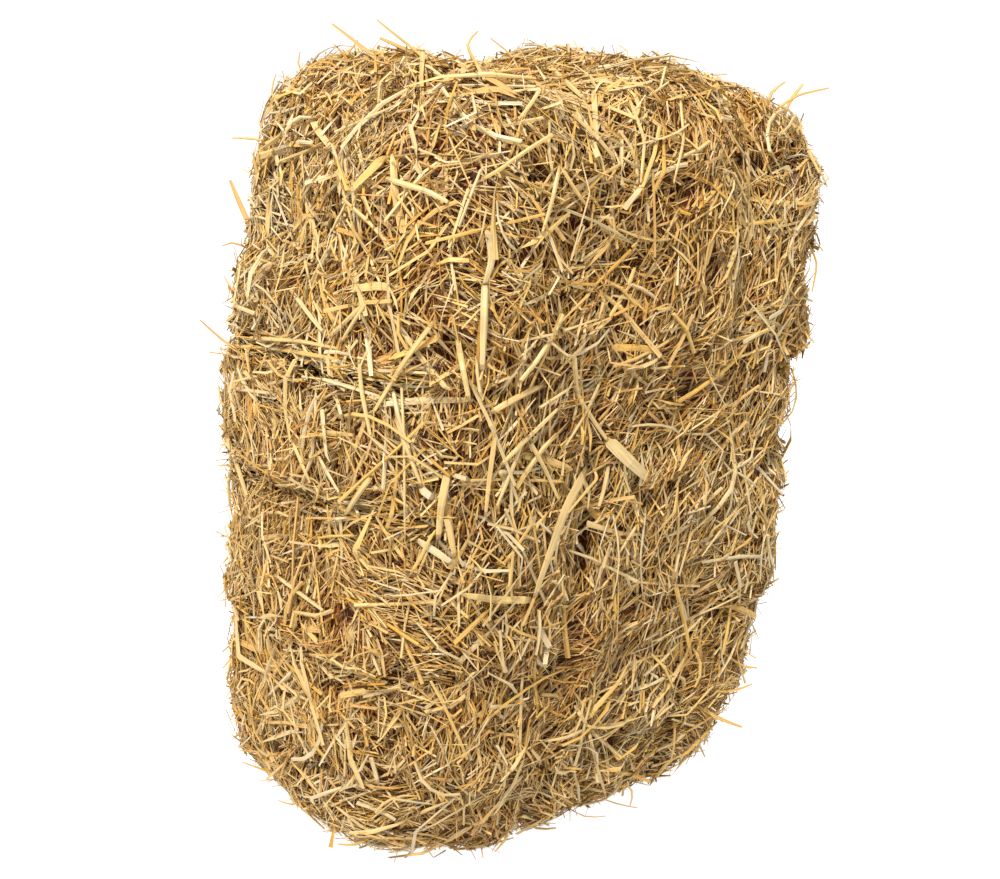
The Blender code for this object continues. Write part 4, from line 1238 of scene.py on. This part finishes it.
def twine_route(place):
    """Points of one twine: up the front groove, over the top, down the back and under the bottom."""
    def on_wide_face(height, side):
        spot = press(Vector((place, side * BALE_DEPTH / 2, height)), False)
        tilt_out, tilt_up = end_tilt(BACK if side > 0 else FRONT, height)
        return spot + TWINE_LIFT * Vector((0.0, side * tilt_out, tilt_up))

    def on_end_face(y, height):
        end = 1.0 if height > BALE_LENGTH / 2 else -1.0
        return press(Vector((place, y, height)), True) + Vector((0.0, 0.0, end * TWINE_LIFT))

    heights = [*END_LEVELS, JOINT_HEIGHTS[1] - CREASE_HALF_HEIGHT, JOINT_HEIGHTS[1]]
    for index in range(1, FLAKE_COUNT - 1):
        heights += [flake_middle(index), JOINT_HEIGHTS[index + 1]]
    heights.append(JOINT_HEIGHTS[-2] + CREASE_HALF_HEIGHT)
    heights += [BALE_LENGTH - level for level in reversed(END_LEVELS)]
    ends = [share * BALE_DEPTH / 2 for share in (-1.0, -0.5, 0.0, 0.5, 1.0)]
    route = [on_wide_face(height, -1.0) for height in heights]
    route += [on_end_face(y, BALE_LENGTH) for y in ends]
    route += [on_wide_face(height, 1.0) for height in reversed(heights)]
    route += [on_end_face(y, 0.0) for y in reversed(ends)]
    return [spot + bale_axis for spot in route]


def walk(route, step, closed):
    """The route in even steps."""
    legs = list(zip(route, route[1:] + route[:1])) if closed else list(zip(route, route[1:]))
    total = sum((far - near).length for near, far in legs)
    count = max(3, round(total / step))
    spots, done, leg = [], 0.0, 0
    for number in range(count + (0 if closed else 1)):
        wanted = total * number / count
        while leg < len(legs) - 1 and wanted > done + (legs[leg][1] - legs[leg][0]).length:
            done += (legs[leg][1] - legs[leg][0]).length
            leg += 1
        near, far = legs[leg]
        spots.append(near.lerp(far, min(1.0, (wanted - done) / (far - near).length)))
    return spots


def twist_plies(body, route, side_axis, closed):
    """Two plies wound round a route; side_axis lies across the route everywhere."""
    step = TWIST_LENGTH / STEPS_PER_TWIST
    spots = walk(route, step, closed)
    count = len(spots)
    turns = round(count / STEPS_PER_TWIST) if closed else count / STEPS_PER_TWIST
    strip = body.loops.layers.uv["strip"]
    for ply in (0.0, math.pi):
        hoops = []
        for number, spot in enumerate(spots):
            before = spots[number - 1] if closed or number else spots[0]
            after = spots[(number + 1) % count] if closed else spots[min(number + 1, count - 1)]
            ahead = (after - before).normalized()
            second = side_axis.cross(ahead).normalized()
            first = ahead.cross(second)
            angle = 2.0 * math.pi * turns * number / count + ply
            middle = spot + PLY_OFFSET * (first * math.cos(angle) + second * math.sin(angle))
            around = [angle + 2.0 * math.pi * side / PLY_SIDES for side in range(PLY_SIDES)]
            sides = [first * math.cos(turn) + second * math.sin(turn) for turn in around]
            hoops.append([body.verts.new(middle + PLY_RADIUS * side) for side in sides])
        pairs = zip(hoops, hoops[1:] + hoops[:1]) if closed else zip(hoops, hoops[1:])
        for number, (near, far) in enumerate(pairs):
            for side in range(PLY_SIDES):
                after = (side + 1) % PLY_SIDES
                face = body.faces.new((near[side], near[after], far[after], far[side]))
                face.smooth = True
                corners = ((number, side), (number, side + 1), (number + 1, side + 1), (number + 1, side))
                for loop, (along, around) in zip(face.loops, corners):
                    loop[strip].uv = (along * step / TWIST_LENGTH, around / PLY_SIDES)
        if not closed:
            body.faces.new(list(reversed(hoops[0])))
            body.faces.new(hoops[-1])


def knot_route(centre):
    """One round turn and a half hitch, drawn together."""
    route = []
    for step in range(KNOT_TURNS * STEPS_PER_KNOT_TURN + 1):
        angle = 2.0 * math.pi * step / STEPS_PER_KNOT_TURN
        tight = 0.62 + 0.30 * math.cos(1.5 * angle)
        route.append(centre + Vector((KNOT_RADII[0] * math.cos(angle) * tight,
                                      KNOT_RADII[1] * math.sin(1.5 * angle) * 0.5,
                                      KNOT_RADII[2] * math.sin(angle) * tight)))
    return route


def twine_finish():
    finish = bpy.data.materials.new("sisal_twine")
    finish.use_nodes = True
    tree = finish.node_tree
    shader = tree.nodes["Principled BSDF"]
    shader.inputs["Roughness"].default_value = 0.8
    shader.inputs["Specular IOR Level"].default_value = 0.25
    along = add_node(tree, "ShaderNodeUVMap", uv_map="strip")
    stretch = add_node(tree, "ShaderNodeMapping", {"Vector": out(along), "Scale": (1.5, 18.0, 1.0)})
    fibres = add_node(tree, "ShaderNodeTexNoise", {"Vector": out(stretch), "Scale": 1.0, "Detail": 3.0})
    share = add_node(tree, "ShaderNodeMapRange", {"Value": out(fibres), "From Min": 0.35, "From Max": 0.65})
    blend = colour_mix(tree, "MIX", out(share), (0.20, 0.115, 0.042), (0.46, 0.315, 0.145))
    tree.links.new(blend, shader.inputs["Base Color"])
    return finish


twine_material = twine_finish()
for name, place in TWINE_PLACES.items():
    body = bmesh.new()
    body.loops.layers.uv.new("strip")
    twist_plies(body, twine_route(place), Vector((1.0, 0.0, 0.0)), closed=True)
    floor_spot = press(Vector((place, BALE_DEPTH / 2, KNOT_HEIGHT)), False)
    centre = Vector((place, floor_spot.y + KNOT_LIFT, KNOT_HEIGHT)) + bale_axis
    twist_plies(body, knot_route(centre), Vector((0.0, 1.0, 0.0)), closed=False)
    for side in (-1.0, 1.0):
        tail = [centre] + [centre + Vector((side * x, y, z)) for x, y, z in TAIL_ROUTE]
        twist_plies(body, tail, Vector((1.0, 0.0, 0.0)), closed=False)
    bmesh.ops.triangulate(body, faces=body.faces[:])
    mesh = bpy.data.meshes.new(name + "_plies")
    body.to_mesh(mesh)
    body.free()
    mesh.materials.append(twine_material)
    twine = make_object(name + "_plies", mesh)
    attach(twine, "root")
    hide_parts(name)
